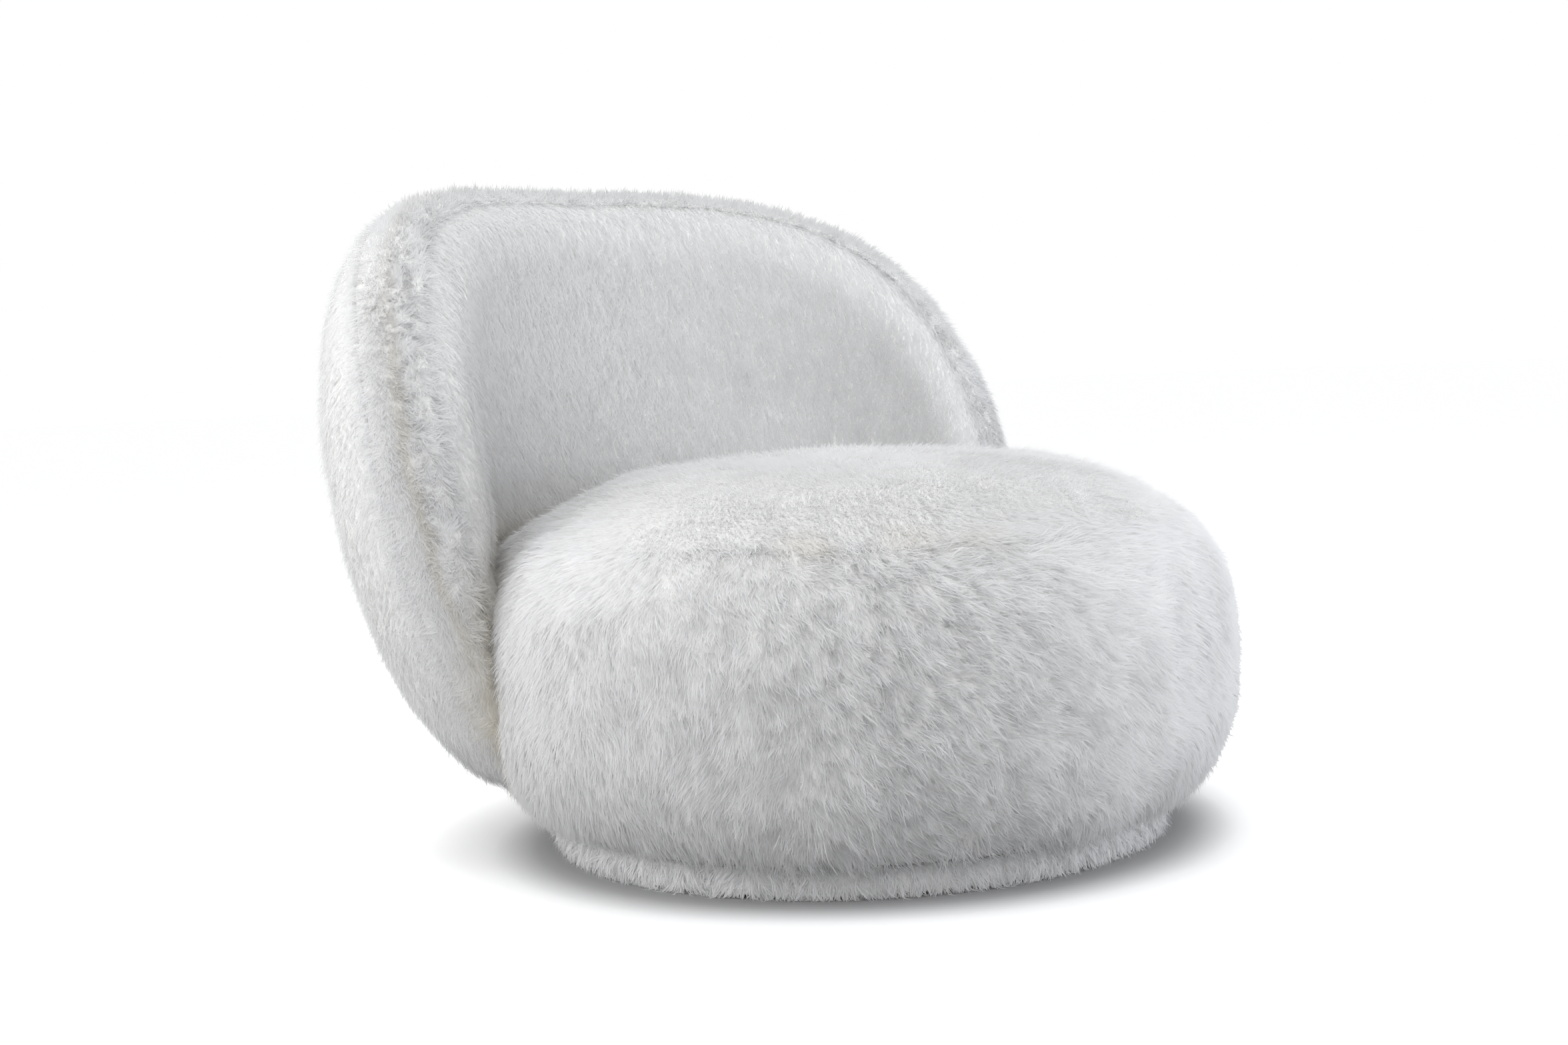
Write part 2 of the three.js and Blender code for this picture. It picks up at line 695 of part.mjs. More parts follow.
place(upperBody, 'swivel_upper_plate', swivelPlate(upperPlateTop, upperPlateBottom), zincSteel());
place(upperBody, 'seat_base_board', seatBaseBoard(), plywood());
place(upperBody, 'seat_hoop',
  ring(hoopOuterRadius - hoopThickness, hoopOuterRadius, seatBoardTop + clearance, deckBottom - clearance,
    frameSides), plywood());
place(upperBody, 'seat_deck_ring', seatDeckRing(), plywood());
steps(strapsAcross - 1).forEach((i) => {
  const offset = (i - (strapsAcross - 1) / 2) * strapSpacing;
  place(upperBody, `webbing_across_${i + 1}`, strap(offset, deckHeight + clearance), webbing());
});
steps(strapsAlong - 1).forEach((i) => {
  const offset = (i - (strapsAlong - 1) / 2) * strapSpacing;
  const bottom = deckHeight + 2 * clearance + strapThickness;
  const along = place(upperBody, `webbing_along_${i + 1}`, strap(offset, bottom), webbing());
  along.rotation.z = quarterTurn;
});
place(upperBody, 'seat_foam_core',
  disc(seatBoardRadius, bracketTop + clearance, seatJoinHeight - clearance, skinSides), foam());
place(upperBody, 'seat_foam_topper', seatFoamTopper(), foam());
place(upperBody, 'seat_side_foam', seatSideFoam(), foam());
place(upperBody, 'seat_top_fur', seatTopFur(), sheepskin());
place(upperBody, 'seat_side_fur', seatSideFur(), sheepskin());
const clothTop = seatBoardBottom - clearance;
place(upperBody, 'seat_dust_cloth',
  ring(plateRadius + dustClothInnerMargin, seatUnderFurInnerRadius - clearance, clothTop - dustClothThickness,
    clothTop, skinSides), blackCloth());
bracketDegrees.forEach((degrees, i) => {
  const bar = place(upperBody, `back_bracket_${i + 1}`, bracket(), zincSteel());
  bar.rotation.z = -rad(degrees);
  const shape = bolt(bracketTop - deckBottom + clearance);
  const screw = place(upperBody, `bracket_bolt_${i + 1}`, shape, zincSteel());
  const [x, y] = [bracketBoltRadius * Math.sin(rad(degrees)), bracketBoltRadius * Math.cos(rad(degrees))];
  screw.position.set(x, y, deckBottom - clearance);
  screw.rotation.x = Math.PI;
});
place(upperBody, 'back_bottom_rail', backBottomRail(), plywood());
place(upperBody, 'back_arch_rail', backArchRail(), plywood());
ribWrapShares.forEach((share, i) => place(upperBody, `back_rib_${i + 1}`, backRib(share), plywood()));
place(upperBody, 'back_inner_board', backBoard(-1), hardboard());
place(upperBody, 'back_outer_board', backBoard(1), hardboard());
place(upperBody, 'back_foam_inner', backFoam(-1), foam());
place(upperBody, 'back_foam_outer', backFoam(1), foam());
place(upperBody, 'back_inner_fur', backFaceFur(-1), sheepskin());
place(upperBody, 'back_edge_fur', backEdgeFur(), sheepskin());
place(upperBody, 'back_outer_fur', backFaceFur(1), sheepskin());

export default chair;
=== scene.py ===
"""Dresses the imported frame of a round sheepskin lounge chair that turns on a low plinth.

The seat is a squashed ball and the back a thick slab bent round it. Both wear long white sheepskin, made
here in two layers: a padded hide that swells between its seams, and the pile on it, lock by lock, combed as
on the real chair. All lengths are in metres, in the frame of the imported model.
"""

import math
from dataclasses import dataclass

import bmesh
import bpy
import numpy as np
from mathutils import Matrix, Vector, kdtree


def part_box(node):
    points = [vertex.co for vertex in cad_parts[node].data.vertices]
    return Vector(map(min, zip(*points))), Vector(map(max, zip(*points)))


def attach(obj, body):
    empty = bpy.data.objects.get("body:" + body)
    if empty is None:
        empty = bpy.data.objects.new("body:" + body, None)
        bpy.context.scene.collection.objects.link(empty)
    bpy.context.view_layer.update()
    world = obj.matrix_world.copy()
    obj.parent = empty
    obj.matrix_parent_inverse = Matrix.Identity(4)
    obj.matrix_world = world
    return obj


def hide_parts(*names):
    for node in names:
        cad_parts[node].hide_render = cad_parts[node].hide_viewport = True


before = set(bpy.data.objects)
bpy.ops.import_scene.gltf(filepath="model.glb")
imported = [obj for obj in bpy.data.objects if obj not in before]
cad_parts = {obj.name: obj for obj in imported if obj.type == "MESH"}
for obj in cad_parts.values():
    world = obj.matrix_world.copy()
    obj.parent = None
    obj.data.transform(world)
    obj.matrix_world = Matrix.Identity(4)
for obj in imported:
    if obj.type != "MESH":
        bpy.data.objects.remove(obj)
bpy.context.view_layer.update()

# Driving sizes of the chair, as its CAD source has them
PIVOT = (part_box("pivot_bolt")[0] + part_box("pivot_bolt")[1]) / 2
AXIS = np.array([PIVOT.x, PIVOT.y, 0.0])
SEAT_RADIUS = 0.422
SEAT_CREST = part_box("seat_top_fur")[1].z
SEAT_EQUATOR = 0.206
SEAT_FOOT_DROP = 0.238
SEAT_FULLNESS = 2.8
SEAT_SEAM = SEAT_CREST - 0.073
SEAT_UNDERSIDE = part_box("seat_side_fur")[0].z
SEAT_UNDER_OPENING = 0.308
BACK_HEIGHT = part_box("back_edge_fur")[1].z
BACK_MIDDLE_RADIUS = 0.486
BACK_FOOT_RADIUS = 0.301
BACK_FOOT_HEIGHT = 0.083
BACK_UPRIGHT_HEIGHT = 0.510
BACK_BOWL_FULLNESS = 1.85
BACK_HALF_THICKNESS = 0.084
BACK_EDGE_DEPTH = 0.081
BACK_HALF_WRAP = math.radians(74.4)
BACK_ARCH_SQUARENESS = 3.4
BACK_ARCH_ROUNDNESS = 2.35
BACK_CORE_SHARE = 0.6
EDGE_BAND_HALF_TURN = 28.0
PLINTH_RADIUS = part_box("plinth_fur_band")[1].x
PLINTH_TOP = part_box("plinth_fur_band")[1].z
PLINTH_FUR_DEPTH = 0.012

# How the hides lie under the pile
HIDE_SEAM_INSET = 0.0068
HIDE_INSET = 0.0066
HIDE_TUCK_INSET = 0.020
HIDE_SWELL = 0.003
HIDE_THICKNESS = 0.003
HIDE_PRESSURE = 4.0
SEAT_LUMP_HEIGHT = 0.0014
BACK_LUMP_HEIGHT = 0.0006
PLINTH_LUMP_HEIGHT = 0.0004
CREASE_DEPTH = 0.020
CREASE_REACH = 0.028
CREASE_PADDING = 0.050
SWELL_FRAMES = 20
SEWN_WIDTH = 0.020

# Seeds of the random draws
SEAT_LUMP_SEED = 11
BACK_LUMP_SEED = 31
PLINTH_LUMP_SEED = 61
FIRST_PILE_SEED = 101
FIRST_FOAM_SEED = 200

# The camera, fitted to the photograph's outlines. It stands round the swivel's axis from the chair's front
CAMERA_TURN = math.radians(-44.3657)
CAMERA_DISTANCE = 2.3295
CAMERA_HEIGHT = 0.5146
CAMERA_YAW = math.radians(1.7515)
CAMERA_PITCH = math.radians(4.1723)
CAMERA_ROLL = math.radians(-2.6057)
CAMERA_LENS_MM = 48.21
SENSOR_MM = 36.0

# Light: the world's strength and tint, and the share of light that a strand lets out on its other side
WORLD_LIGHT = 0.53
WORLD_TINT = (0.98, 0.988, 1.0)
PILE_CLEARNESS = 0.5

# The floor: its size, its own glow, and where from the plinth the painted contact shadow in its seen colour
# and in its glow clears, in metres
FLOOR_SIZE = 40.0
FLOOR_GLOW = 0.50
FLOOR_PAINTED_SHADOW_CLEARS = (0.004, 0.075)
FLOOR_GLOW_SHADOW_CLEARS = (0.02, 0.19)

# Lamps: turn in degrees, distance, height and size in metres, power in watts, and tint
COOL = (0.975, 0.985, 1.0)
COOLER = (0.92, 0.95, 1.0)
PLAIN = (1.0, 1.0, 1.0)
LAMP_TARGET_HEIGHT = 0.35
LAMPS = {
    "overhead": (-40, 0.2, 3.3, 2.4, 24.0, COOL),
    "left_side": (-118, 2.3, 0.42, 1.7, 33.0, PLAIN),
    "right_side": (42, 2.0, 0.20, 0.9, 20.0, COOLER),
    "front": (-36, 1.9, 3.0, 1.9, 19.0, COOL),
    "fill": (-42, 4.5, 2.3, 2.0, 47.0, PLAIN),
    "behind": (125, 2.2, 1.5, 1.6, 13.0, PLAIN),
}

# How strands are made. The twist is in radians, the flying lift in degrees, and gaps and depths in metres
SEGMENTS = 2
TIP_WIDTH = 0.65
STRAND_TWIST = 0.12
FLYING_SHARE = 0.12
FLYING_LIFT = 30
FLYING_LENGTH = 1.2
FLOOR_GAP = 0.0008
SWIVEL_GAP_MIDDLE = (PLINTH_TOP + SEAT_UNDERSIDE) / 2
SWIVEL_GAP_CLEAR = 0.0006
PLINTH_PILE_DEPTH = 0.014
UNDERSIDE_PILE_DEPTH = 0.030
SEAT_PILE_OVERLAP = 0.012
BACK_PILE_OVERLAP = 0.014
BACK_FOOT_BARE = 0.002
PLINTH_FOOT_BARE = 0.006
SMOOTHING_REACH = 0.014
RIM_SOFTNESS = 0.30
RIM_FLATNESS = 1.6
HIDE_BENDS = 0.08
CROWN_WIDTH = 0.008

# The parting along the back's rim, as shares of half its thickness, and the rim's left end, in metres
PARTING_SHARE = 0.05
PARTING_WIDTH = 0.07
TUFTS_BEYOND_PARTING = 0.06
TUFTS_FADE = 0.12
LEFT_END_START = 0.15
LEFT_END_REACH = 0.4

# Where painted shade warms and darkens the pile, along seams, in the creases and as a painted shadow wedge,
# and where the pile is loose. Turns and spreads are in degrees round the axis
SEAM_SHADE_REACH = 0.012
SEAM_SHADE_TURN = -132
SEAM_SHADE_SPREAD = 18
SEAT_CREASE_REACH = 0.008
BACK_CREASE_REACH = 0.016
PAINTED_WEDGE_REACH = 0.034
PAINTED_WEDGE_TURN = 132
PAINTED_WEDGE_SPREAD = 26
LOOSE_TURN = -124
LOOSE_SPREAD = 35

UP = np.array([0.0, 0.0, 1.0])


# Shapes of the seat and the back


def power(value, exponent):
    """The value's size to that power, with its sign kept."""
    return np.sign(value) * np.abs(value) ** exponent


def ball_level(z):
    """How far up or down the seat ball a height lies, from 0 at its widest to 1 at its crest or foot."""
    rise = np.where(z > SEAT_EQUATOR, SEAT_CREST - SEAT_EQUATOR, SEAT_FOOT_DROP)
    return np.abs(z - SEAT_EQUATOR) / rise


def ball_turn(z):
    """The turn on the seat ball's outline, in radians, that lies at a height."""
    turn = np.arcsin(min(1.0, float(ball_level(z))) ** (SEAT_FULLNESS / 2))
    return turn if z > SEAT_EQUATOR else -turn


def ball_spots(angle, turn, inset):
    """Points of the seat ball's surface, inset under it."""
    rise = np.where(turn > 0, SEAT_CREST - SEAT_EQUATOR, SEAT_FOOT_DROP)
    radius = (SEAT_RADIUS - inset) * power(np.cos(turn), 2 / SEAT_FULLNESS)
    z = SEAT_EQUATOR + (rise - inset) * power(np.sin(turn), 2 / SEAT_FULLNESS)
    return AXIS + np.stack([radius * np.cos(angle), radius * np.sin(angle), z], axis=-1)


def from_ball(spots):
    """About how far points lie outside the seat ball. It is negative inside."""
    flat = np.hypot(spots[..., 0] - AXIS[0], spots[..., 1] - AXIS[1])
    level = (flat / SEAT_RADIUS) ** SEAT_FULLNESS + ball_level(spots[..., 2]) ** SEAT_FULLNESS
    return (level ** (1 / SEAT_FULLNESS) - 1) * SEAT_RADIUS


def middle_radius(z):
    """How far the middle of the back's thickness stands from the axis at a height."""
    drop = BACK_UPRIGHT_HEIGHT - BACK_FOOT_HEIGHT
    down = np.clip((BACK_UPRIGHT_HEIGHT - z) / drop, 0.0, 1.0)
    bowl = (1 - down**BACK_BOWL_FULLNESS) ** (1 / BACK_BOWL_FULLNESS)
    return BACK_FOOT_RADIUS + (BACK_MIDDLE_RADIUS - BACK_FOOT_RADIUS) * bowl


def slab_spots(theta, turn, share, inset):
    """Points of the back's surface.

    Theta runs along its arched rim from 0 to pi. Turn, in degrees, runs round the rim's thickness from -90
    on the seat side to 90 on the outer side, and share from 0 there to 1 at the middle of the back's foot.
    """
    reach = BACK_MIDDLE_RADIUS * BACK_HALF_WRAP
    arch = BACK_HEIGHT - BACK_FOOT_HEIGHT
    rim_along = (reach - inset) * power(np.cos(theta), 2 / BACK_ARCH_SQUARENESS)
    rim_z = BACK_FOOT_HEIGHT + (arch - inset) * power(np.sin(theta), 2 / BACK_ARCH_ROUNDNESS)
    core_along = BACK_CORE_SHARE * reach * np.cos(theta)
    whole = np.hypot(core_along - rim_along, BACK_FOOT_HEIGHT - rim_z)
    edge = BACK_EDGE_DEPTH - inset
    round_share = np.radians(turn)
    depth = edge * (1 - np.cos(round_share)) + (whole - edge) * share
    part = depth / whole
    along = rim_along + (core_along - rim_along) * part
    z = rim_z + (BACK_FOOT_HEIGHT - rim_z) * part
    radius = middle_radius(z) + (BACK_HALF_THICKNESS - inset) * np.sin(round_share)
    bend = along / BACK_MIDDLE_RADIUS
    return AXIS + np.stack([radius * np.sin(bend), radius * np.cos(bend), z], axis=-1)


def inside_rim(spots):
    """About how far points lie inside the back's arched rim, seen square to the back's face."""
    along = np.arctan2(spots[..., 0] - AXIS[0], spots[..., 1] - AXIS[1]) * BACK_MIDDLE_RADIUS
    reach = BACK_MIDDLE_RADIUS * BACK_HALF_WRAP
    arch = BACK_HEIGHT - BACK_FOOT_HEIGHT
    height = np.maximum(spots[..., 2] - BACK_FOOT_HEIGHT, 0.0)
    level = (np.abs(along) / reach) ** BACK_ARCH_SQUARENESS + (height / arch) ** BACK_ARCH_ROUNDNESS
    return (1 - level ** (1 / BACK_ARCH_ROUNDNESS)) * arch


def off_middle(spots):
    """How far points stand outside the middle of the back's thickness. It is negative on the seat side."""
    return np.hypot(spots[..., 0] - AXIS[0], spots[..., 1] - AXIS[1]) - middle_radius(spots[..., 2])


def from_back(spots):
    """About how far points lie outside the back's slab. It is negative inside."""
    from_rim = inside_rim(spots)
    rounding = np.clip(1 - from_rim / BACK_EDGE_DEPTH, 0.0, 1.0)
    aside = np.abs(off_middle(spots)) - BACK_HALF_THICKNESS * np.sqrt(1 - rounding**2)
    beyond = np.hypot(np.maximum(aside, 0.0), np.minimum(from_rim, 0.0))
    return np.maximum(np.where(from_rim < 0, beyond, aside), BACK_FOOT_HEIGHT - spots[..., 2])


def outer_share(spots):
    """How far points lie from the middle of the back's thickness, from -1 on the seat side to 1 outside."""
    return off_middle(spots) / BACK_HALF_THICKNESS


def bell(values, middle, spread):
    """1 where a value lies at the middle, falling smoothly to 0 on both sides."""
    return np.exp(-(((values - middle) / spread) ** 2))


def unit(vectors):
    return vectors / np.maximum(np.linalg.norm(vectors, axis=-1, keepdims=True), 1e-9)


def outward(away, spots, reach=0.001):
    """The way in which a distance grows fastest, square to the surface. A long reach smooths its bends."""
    steps = np.eye(3) * reach
    return unit(np.stack([away(spots + step) - away(spots - step) for step in steps], axis=-1))


def ball_outs(spots):
    """Smooth outward ways on the seat."""
    return outward(from_ball, spots, SMOOTHING_REACH)


def back_outs(spots):
    """Smooth outward ways on the back, which turn gently from its rim into its faces."""
    aside = outward(off_middle, spots, SMOOTHING_REACH)
    into = outward(inside_rim, spots, SMOOTHING_REACH)
    rounding = RIM_SOFTNESS * np.logaddexp(0.0, (1 - inside_rim(spots) / BACK_EDGE_DEPTH) / RIM_SOFTNESS)
    toward_rim = rounding.clip(0, 1)[:, None] ** RIM_FLATNESS
    share = outer_share(spots)[:, None]
    level = np.sqrt(1 - toward_rim**2)
    return unit(aside * np.where(np.abs(share) < 0.8, share, np.sign(share) * level) - into * toward_rim)


def ripples(spots, wavelength, seed):
    """A smooth random number for each point, about 1 in size, with hills about a wavelength apart."""
    draw = np.random.default_rng(seed)
    waves = 28
    total = np.zeros(spots.shape[:-1])
    for _ in range(waves):
        way = draw.normal(size=3)
        way /= np.linalg.norm(way)
        pace = 2 * math.pi / (wavelength * draw.uniform(0.75, 1.5))
        total += np.sin(spots @ way * pace + draw.uniform(0, 2 * math.pi))
    return total * math.sqrt(2 / waves)


# Shader nodes as plain expressions


class Value:
    """A socket that holds a number. Arithmetic on it adds Math nodes."""

    def __init__(self, finish, socket):
        self.finish = finish
        self.socket = socket

    def maths(self, operation, *others):
        return self.finish.node("ShaderNodeMath", {"operation": operation}, dict(enumerate([self, *others])))

    def __add__(self, other):
        return self.maths("ADD", other)

    __radd__ = __add__

    def __mul__(self, other):
        return self.maths("MULTIPLY", other)

    __rmul__ = __mul__

    def __sub__(self, other):
        return self.maths("SUBTRACT", other)

    def __rsub__(self, other):
        return self * -1.0 + other

    def __pow__(self, other):
        return self.maths("POWER", other)


class Nodes:
    """The nodes of one material or of the world."""

    def __init__(self, owner):
        owner.use_nodes = True
        self.tree = owner.node_tree
        self.tree.nodes.clear()

    def node(self, kind, settings=None, sockets=None, output=0):
        """Adds a node, with its settings first and then its sockets, and returns one of its outputs."""
        made = self.tree.nodes.new(kind)
        for name, value in (settings or {}).items():
            setattr(made, name, value)
        for name, value in (sockets or {}).items():
            self.feed(made.inputs[name], value)
        return Value(self, made.outputs[output] if made.outputs else made.inputs[0])

    def feed(self, socket, value):
        if isinstance(value, Value):
            self.tree.links.new(value.socket, socket)
        elif socket.type == "RGBA":
            socket.default_value = (*value, 1.0)
        else:
            socket.default_value = value

    def mix(self, share, first, second):
        """A colour between two colours."""
        return self.node("ShaderNodeMix", {"data_type": "RGBA"}, {0: share, 6: first, 7: second}, output=2)

    def seen_plainly(self):
        """1 where the camera looks, directly or in a mirror or through glass, and 0 for soft light."""
        rays = [self.ray("Is Camera Ray"), self.ray("Is Glossy Ray"), self.ray("Is Transmission Ray")]
        through = rays[2] * (1 - self.ray("Is Diffuse Ray"))
        return rays[0].maths("MAXIMUM", rays[1]).maths("MAXIMUM", through)

    def ray(self, kind):
        return self.node("ShaderNodeLightPath", {}, {}, output=kind)


class Finish(Nodes):
    """A material built from nodes round one Principled shader."""

    def __init__(self, name, roughness, metallic=0.0, shine=0.5, sheen=0.0):
        self.material = bpy.data.materials.new(name)
        super().__init__(self.material)
        sockets = {"Roughness": roughness, "Metallic": metallic}
        sockets.update({"Specular IOR Level": shine, "Sheen Weight": sheen})
        self.body = self.node("ShaderNodeBsdfPrincipled", {}, sockets)
        self.shader = self.body.socket.node
        self.out = self.node("ShaderNodeOutputMaterial", {}, {"Surface": self.body}).socket.node

    def noise(self, scale, detail=3.0, roughness=0.55, place=None):
        """Cloudy noise from 0 to 1, with scale hills to a metre."""
        where = place or self.place()
        sockets = {"Vector": where, "Scale": scale, "Detail": detail, "Roughness": roughness}
        return self.node("ShaderNodeTexNoise", {}, sockets)

    def place(self, stretch=(1.0, 1.0, 1.0)):
        """The point of the surface in the object's own frame, stretched along each axis."""
        own = self.node("ShaderNodeTexCoord", {}, {}, output="Object")
        return self.node("ShaderNodeVectorMath", {"operation": "MULTIPLY"}, {0: own, 1: stretch})

    def attribute(self, name):
        """A number that the mesh keeps for each of its points."""
        return self.node("ShaderNodeAttribute", {"attribute_name": name}, {}, output="Fac")

    def colour(self, value):
        self.feed(self.shader.inputs["Base Color"], value)

    def let_light_through(self, share, colour):
        """Lets a share of the light that falls on one side of a thin strand out on its other side."""
        thin = self.node("ShaderNodeBsdfTranslucent", {}, {"Color": colour})
        both = self.node("ShaderNodeMixShader", {}, {0: share, 1: self.body, 2: thin})
        self.feed(self.out.inputs["Surface"], both)

    def roughness(self, value):
        self.feed(self.shader.inputs["Roughness"], value)

    def bump(self, height, distance, strength=1.0):
        """Roughens the surface by a height from 0 to 1 that stands for a distance in metres."""
        sockets = {"Height": height, "Distance": distance, "Strength": strength}
        self.feed(self.shader.inputs["Normal"], self.node("ShaderNodeBump", {}, sockets))


# Finishes


def pile_finish():
    """Washed sheepskin pile: cream at the root, clean toward the tip, with painted shade in creases and
    seams.

    The pile's painted shade goes from 0 to 1 for clean to a warm yellowish painted shade, and on to 2 for an
    olive-brown painted shadow.
    """
    f = Finish("sheepskin_pile", roughness=0.88, shine=0.18, sheen=0.25)
    along = f.attribute("along")
    shade = f.attribute("shade")
    clean = f.mix(shade, (0.935, 0.938, 0.944), (0.963, 0.966, 0.973))
    grown = f.mix(along**0.5, (0.935, 0.930, 0.918), clean)
    # Painted shade: warm and yellowish in creases and along seams and the rim's parting, olive brown in the
    # painted shadow wedge by the seat
    painted_shade = f.attribute("painted_shade")
    with_painted_shade = f.mix(painted_shade, grown, (0.86, 0.82, 0.73))
    f.colour(f.mix(painted_shade - 1.0, with_painted_shade, (0.56, 0.50, 0.36)))
    f.let_light_through(PILE_CLEARNESS, (0.960, 0.962, 0.966))
    return f.material


def hide_finish():
    """The dense underwool next to the hide, which shows only where the pile parts. Its colour is darker than
    the pile's, as painted shade for lying deep under it.
    """
    f = Finish("sheepskin_underwool", roughness=0.95, shine=0.1)
    clumps = f.noise(240.0, detail=4.0)
    clouds = f.noise(9.0, detail=2.0)
    # Painted shade: the underwool is coloured darker than the pile for lying deep under it
    f.colour(f.mix(clumps * 0.7 + clouds * 0.3, (0.855, 0.85, 0.835), (0.90, 0.897, 0.888)))
    f.bump(clumps, 0.002)
    return f.material


def foam_finish():
    """Cut upholstery foam, yellowish and full of fine pores."""
    f = Finish("upholstery_foam", roughness=0.93, shine=0.2)
    pores = f.node("ShaderNodeTexVoronoi", {}, {"Vector": f.place(), "Scale": 420.0})
    clouds = f.noise(14.0)
    f.colour(f.mix(clouds, (0.82, 0.76, 0.54), (0.92, 0.88, 0.70)))
    f.roughness(0.88 + pores * 0.1)
    f.bump(pores, 0.001)
    return f.material


def plywood_finish():
    """Birch plywood: long soft grain on the faces and fine plies through the thickness."""
    f = Finish("birch_plywood", roughness=0.62, shine=0.35)
    grain = f.noise(26.0, detail=6.0, place=f.place((0.35, 4.0, 1.0)))
    wave_sockets = {"Vector": f.place((0.6, 6.0, 1.0)), "Scale": 14.0, "Distortion": 5.0, "Detail": 2.0}
    rings = f.node("ShaderNodeTexWave", {}, wave_sockets, output="Fac")
    ply_sockets = {"Vector": f.place(), "Scale": 110.0, "Distortion": 0.2}
    plies = f.node("ShaderNodeTexWave", {"bands_direction": "Z"}, ply_sockets, output="Fac")
    tone = grain * 0.55 + rings * 0.25 + plies * 0.2
    f.colour(f.mix(tone, (0.60, 0.44, 0.25), (0.84, 0.72, 0.51)))
    f.roughness(0.52 + grain * 0.2)
    f.bump(grain * 0.7 + plies * 0.3, 0.0004)
    return f.material


def hardboard_finish():
    """Brown hardboard, speckled with pressed fibre."""
    f = Finish("pressed_hardboard", roughness=0.7, shine=0.3)
    fibre = f.noise(330.0, detail=5.0)
    clouds = f.noise(8.0)
    f.colour(f.mix(fibre * 0.7 + clouds * 0.3, (0.34, 0.21, 0.11), (0.64, 0.46, 0.28)))
    f.roughness(0.58 + fibre * 0.25)
    f.bump(fibre, 0.0003)
    return f.material


def woven(f, pitch):
    """Crossed threads at a pitch, as a height from 0 to 1."""
    turns = 1.0 / pitch
    lines = {"Vector": f.place(), "Scale": turns / (2 * math.pi) * 2, "Distortion": 0.4}
    warp = f.node("ShaderNodeTexWave", {"bands_direction": "X"}, lines, output="Fac")
    weft = f.node("ShaderNodeTexWave", {"bands_direction": "Y"}, lines, output="Fac")
    return warp.maths("MAXIMUM", weft)


def webbing_finish():
    """Dark elastic webbing with a plain weave."""
    f = Finish("elastic_webbing", roughness=0.85, shine=0.25, sheen=0.2)
    threads = woven(f, 0.0022)
    fluff = f.noise(300.0)
    f.colour(f.mix(threads * 0.7 + fluff * 0.3, (0.05, 0.05, 0.048), (0.30, 0.295, 0.28)))
    f.bump(threads, 0.0006)
    return f.material


def black_cloth_finish():
    """Black spunbond cloth, thin and slightly shiny where its threads bond."""
    f = Finish("black_dust_cloth", roughness=0.8, shine=0.3)
    threads = woven(f, 0.0014)
    clouds = f.noise(60.0, detail=4.0)
    f.colour(f.mix(threads * 0.5 + clouds * 0.5, (0.02, 0.02, 0.021), (0.17, 0.17, 0.172)))
    f.roughness(0.7 + clouds * 0.2)
    f.bump(threads, 0.0003)
    return f.material


def zinc_finish():
    """Bright zinc plating over pressed steel, with a faint spangle."""
    f = Finish("zinc_plated_steel", roughness=0.34, metallic=1.0)
    spangle = f.node("ShaderNodeTexVoronoi", {}, {"Vector": f.place(), "Scale": 170.0})
    scuffs = f.noise(40.0, detail=6.0, place=f.place((1.0, 7.0, 1.0)))
    f.colour(f.mix(spangle * 0.6 + scuffs * 0.4, (0.55, 0.56, 0.575), (0.76, 0.77, 0.775)))
    f.roughness(0.26 + scuffs * 0.24)
    f.bump(scuffs, 0.0001)
    return f.material


def ball_finish():
    """Hardened and polished balls with a thin smear of grease."""
    f = Finish("polished_ball_steel", roughness=0.08, metallic=1.0)
    smear = f.noise(260.0, detail=3.0)
    f.colour(f.mix(smear, (0.70, 0.69, 0.66), (0.86, 0.87, 0.88)))
    f.roughness(0.05 + smear * 0.12)
    return f.material


def nylon_finish():
    """Black moulded nylon with a fine matt texture."""
    f = Finish("moulded_nylon", roughness=0.5, shine=0.45)
    texture = f.noise(700.0, detail=2.0)
    wear = f.noise(30.0)
    f.colour(f.mix(wear, (0.022, 0.022, 0.023), (0.06, 0.06, 0.062)))
    f.roughness(0.42 + texture * 0.16)
    f.bump(texture, 0.0002)
    return f.material


FINISHES = {
    "foam": foam_finish,
    "plywood": plywood_finish,
    "hardboard": hardboard_finish,
    "webbing": webbing_finish,
    "black_cloth": black_cloth_finish,
    "zinc_steel": zinc_finish,
    "ball_steel": ball_finish,
    "nylon": nylon_finish,
}


def dress_frame_nodes():
    """Gives every CAD node that stays in sight the finish of its material slot."""
    made = {slot: build() for slot, build in FINISHES.items()}
    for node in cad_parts.values():
        for place in node.material_slots:
            slot = place.material.name.split(".")[0]
            if slot in made:
                place.link = "OBJECT"
                place.material = made[slot]
    return made


# Hides


def add_piece(name, mesh, material):
    piece = bpy.data.objects.new(name, mesh)
    bpy.context.scene.collection.objects.link(piece)
    mesh.materials.clear()
    mesh.materials.append(material)
    return piece


def sheet_mesh(name, spots, ring):
    """A mesh of quads through rows and columns of points. A ring joins its last column to its first."""
    rows, columns = spots.shape[:2]
    mesh = bpy.data.meshes.new(name)
    shape = bmesh.new()
    points = [[shape.verts.new(spots[r, c]) for c in range(columns)] for r in range(rows)]
    last = columns if ring else columns - 1
    for r in range(rows - 1):
        for c in range(last):
            d = (c + 1) % columns
            shape.faces.new((points[r][c], points[r][d], points[r + 1][d], points[r + 1][c]))
    bmesh.ops.remove_doubles(shape, verts=shape.verts, dist=0.0005)
    shape.to_mesh(mesh)
    shape.free()
    mesh.shade_smooth()
    return mesh


def coordinates(mesh):
    flat = np.empty(len(mesh.vertices) * 3, np.float32)
    mesh.vertices.foreach_get("co", flat)
    return flat.reshape(-1, 3).astype(float)


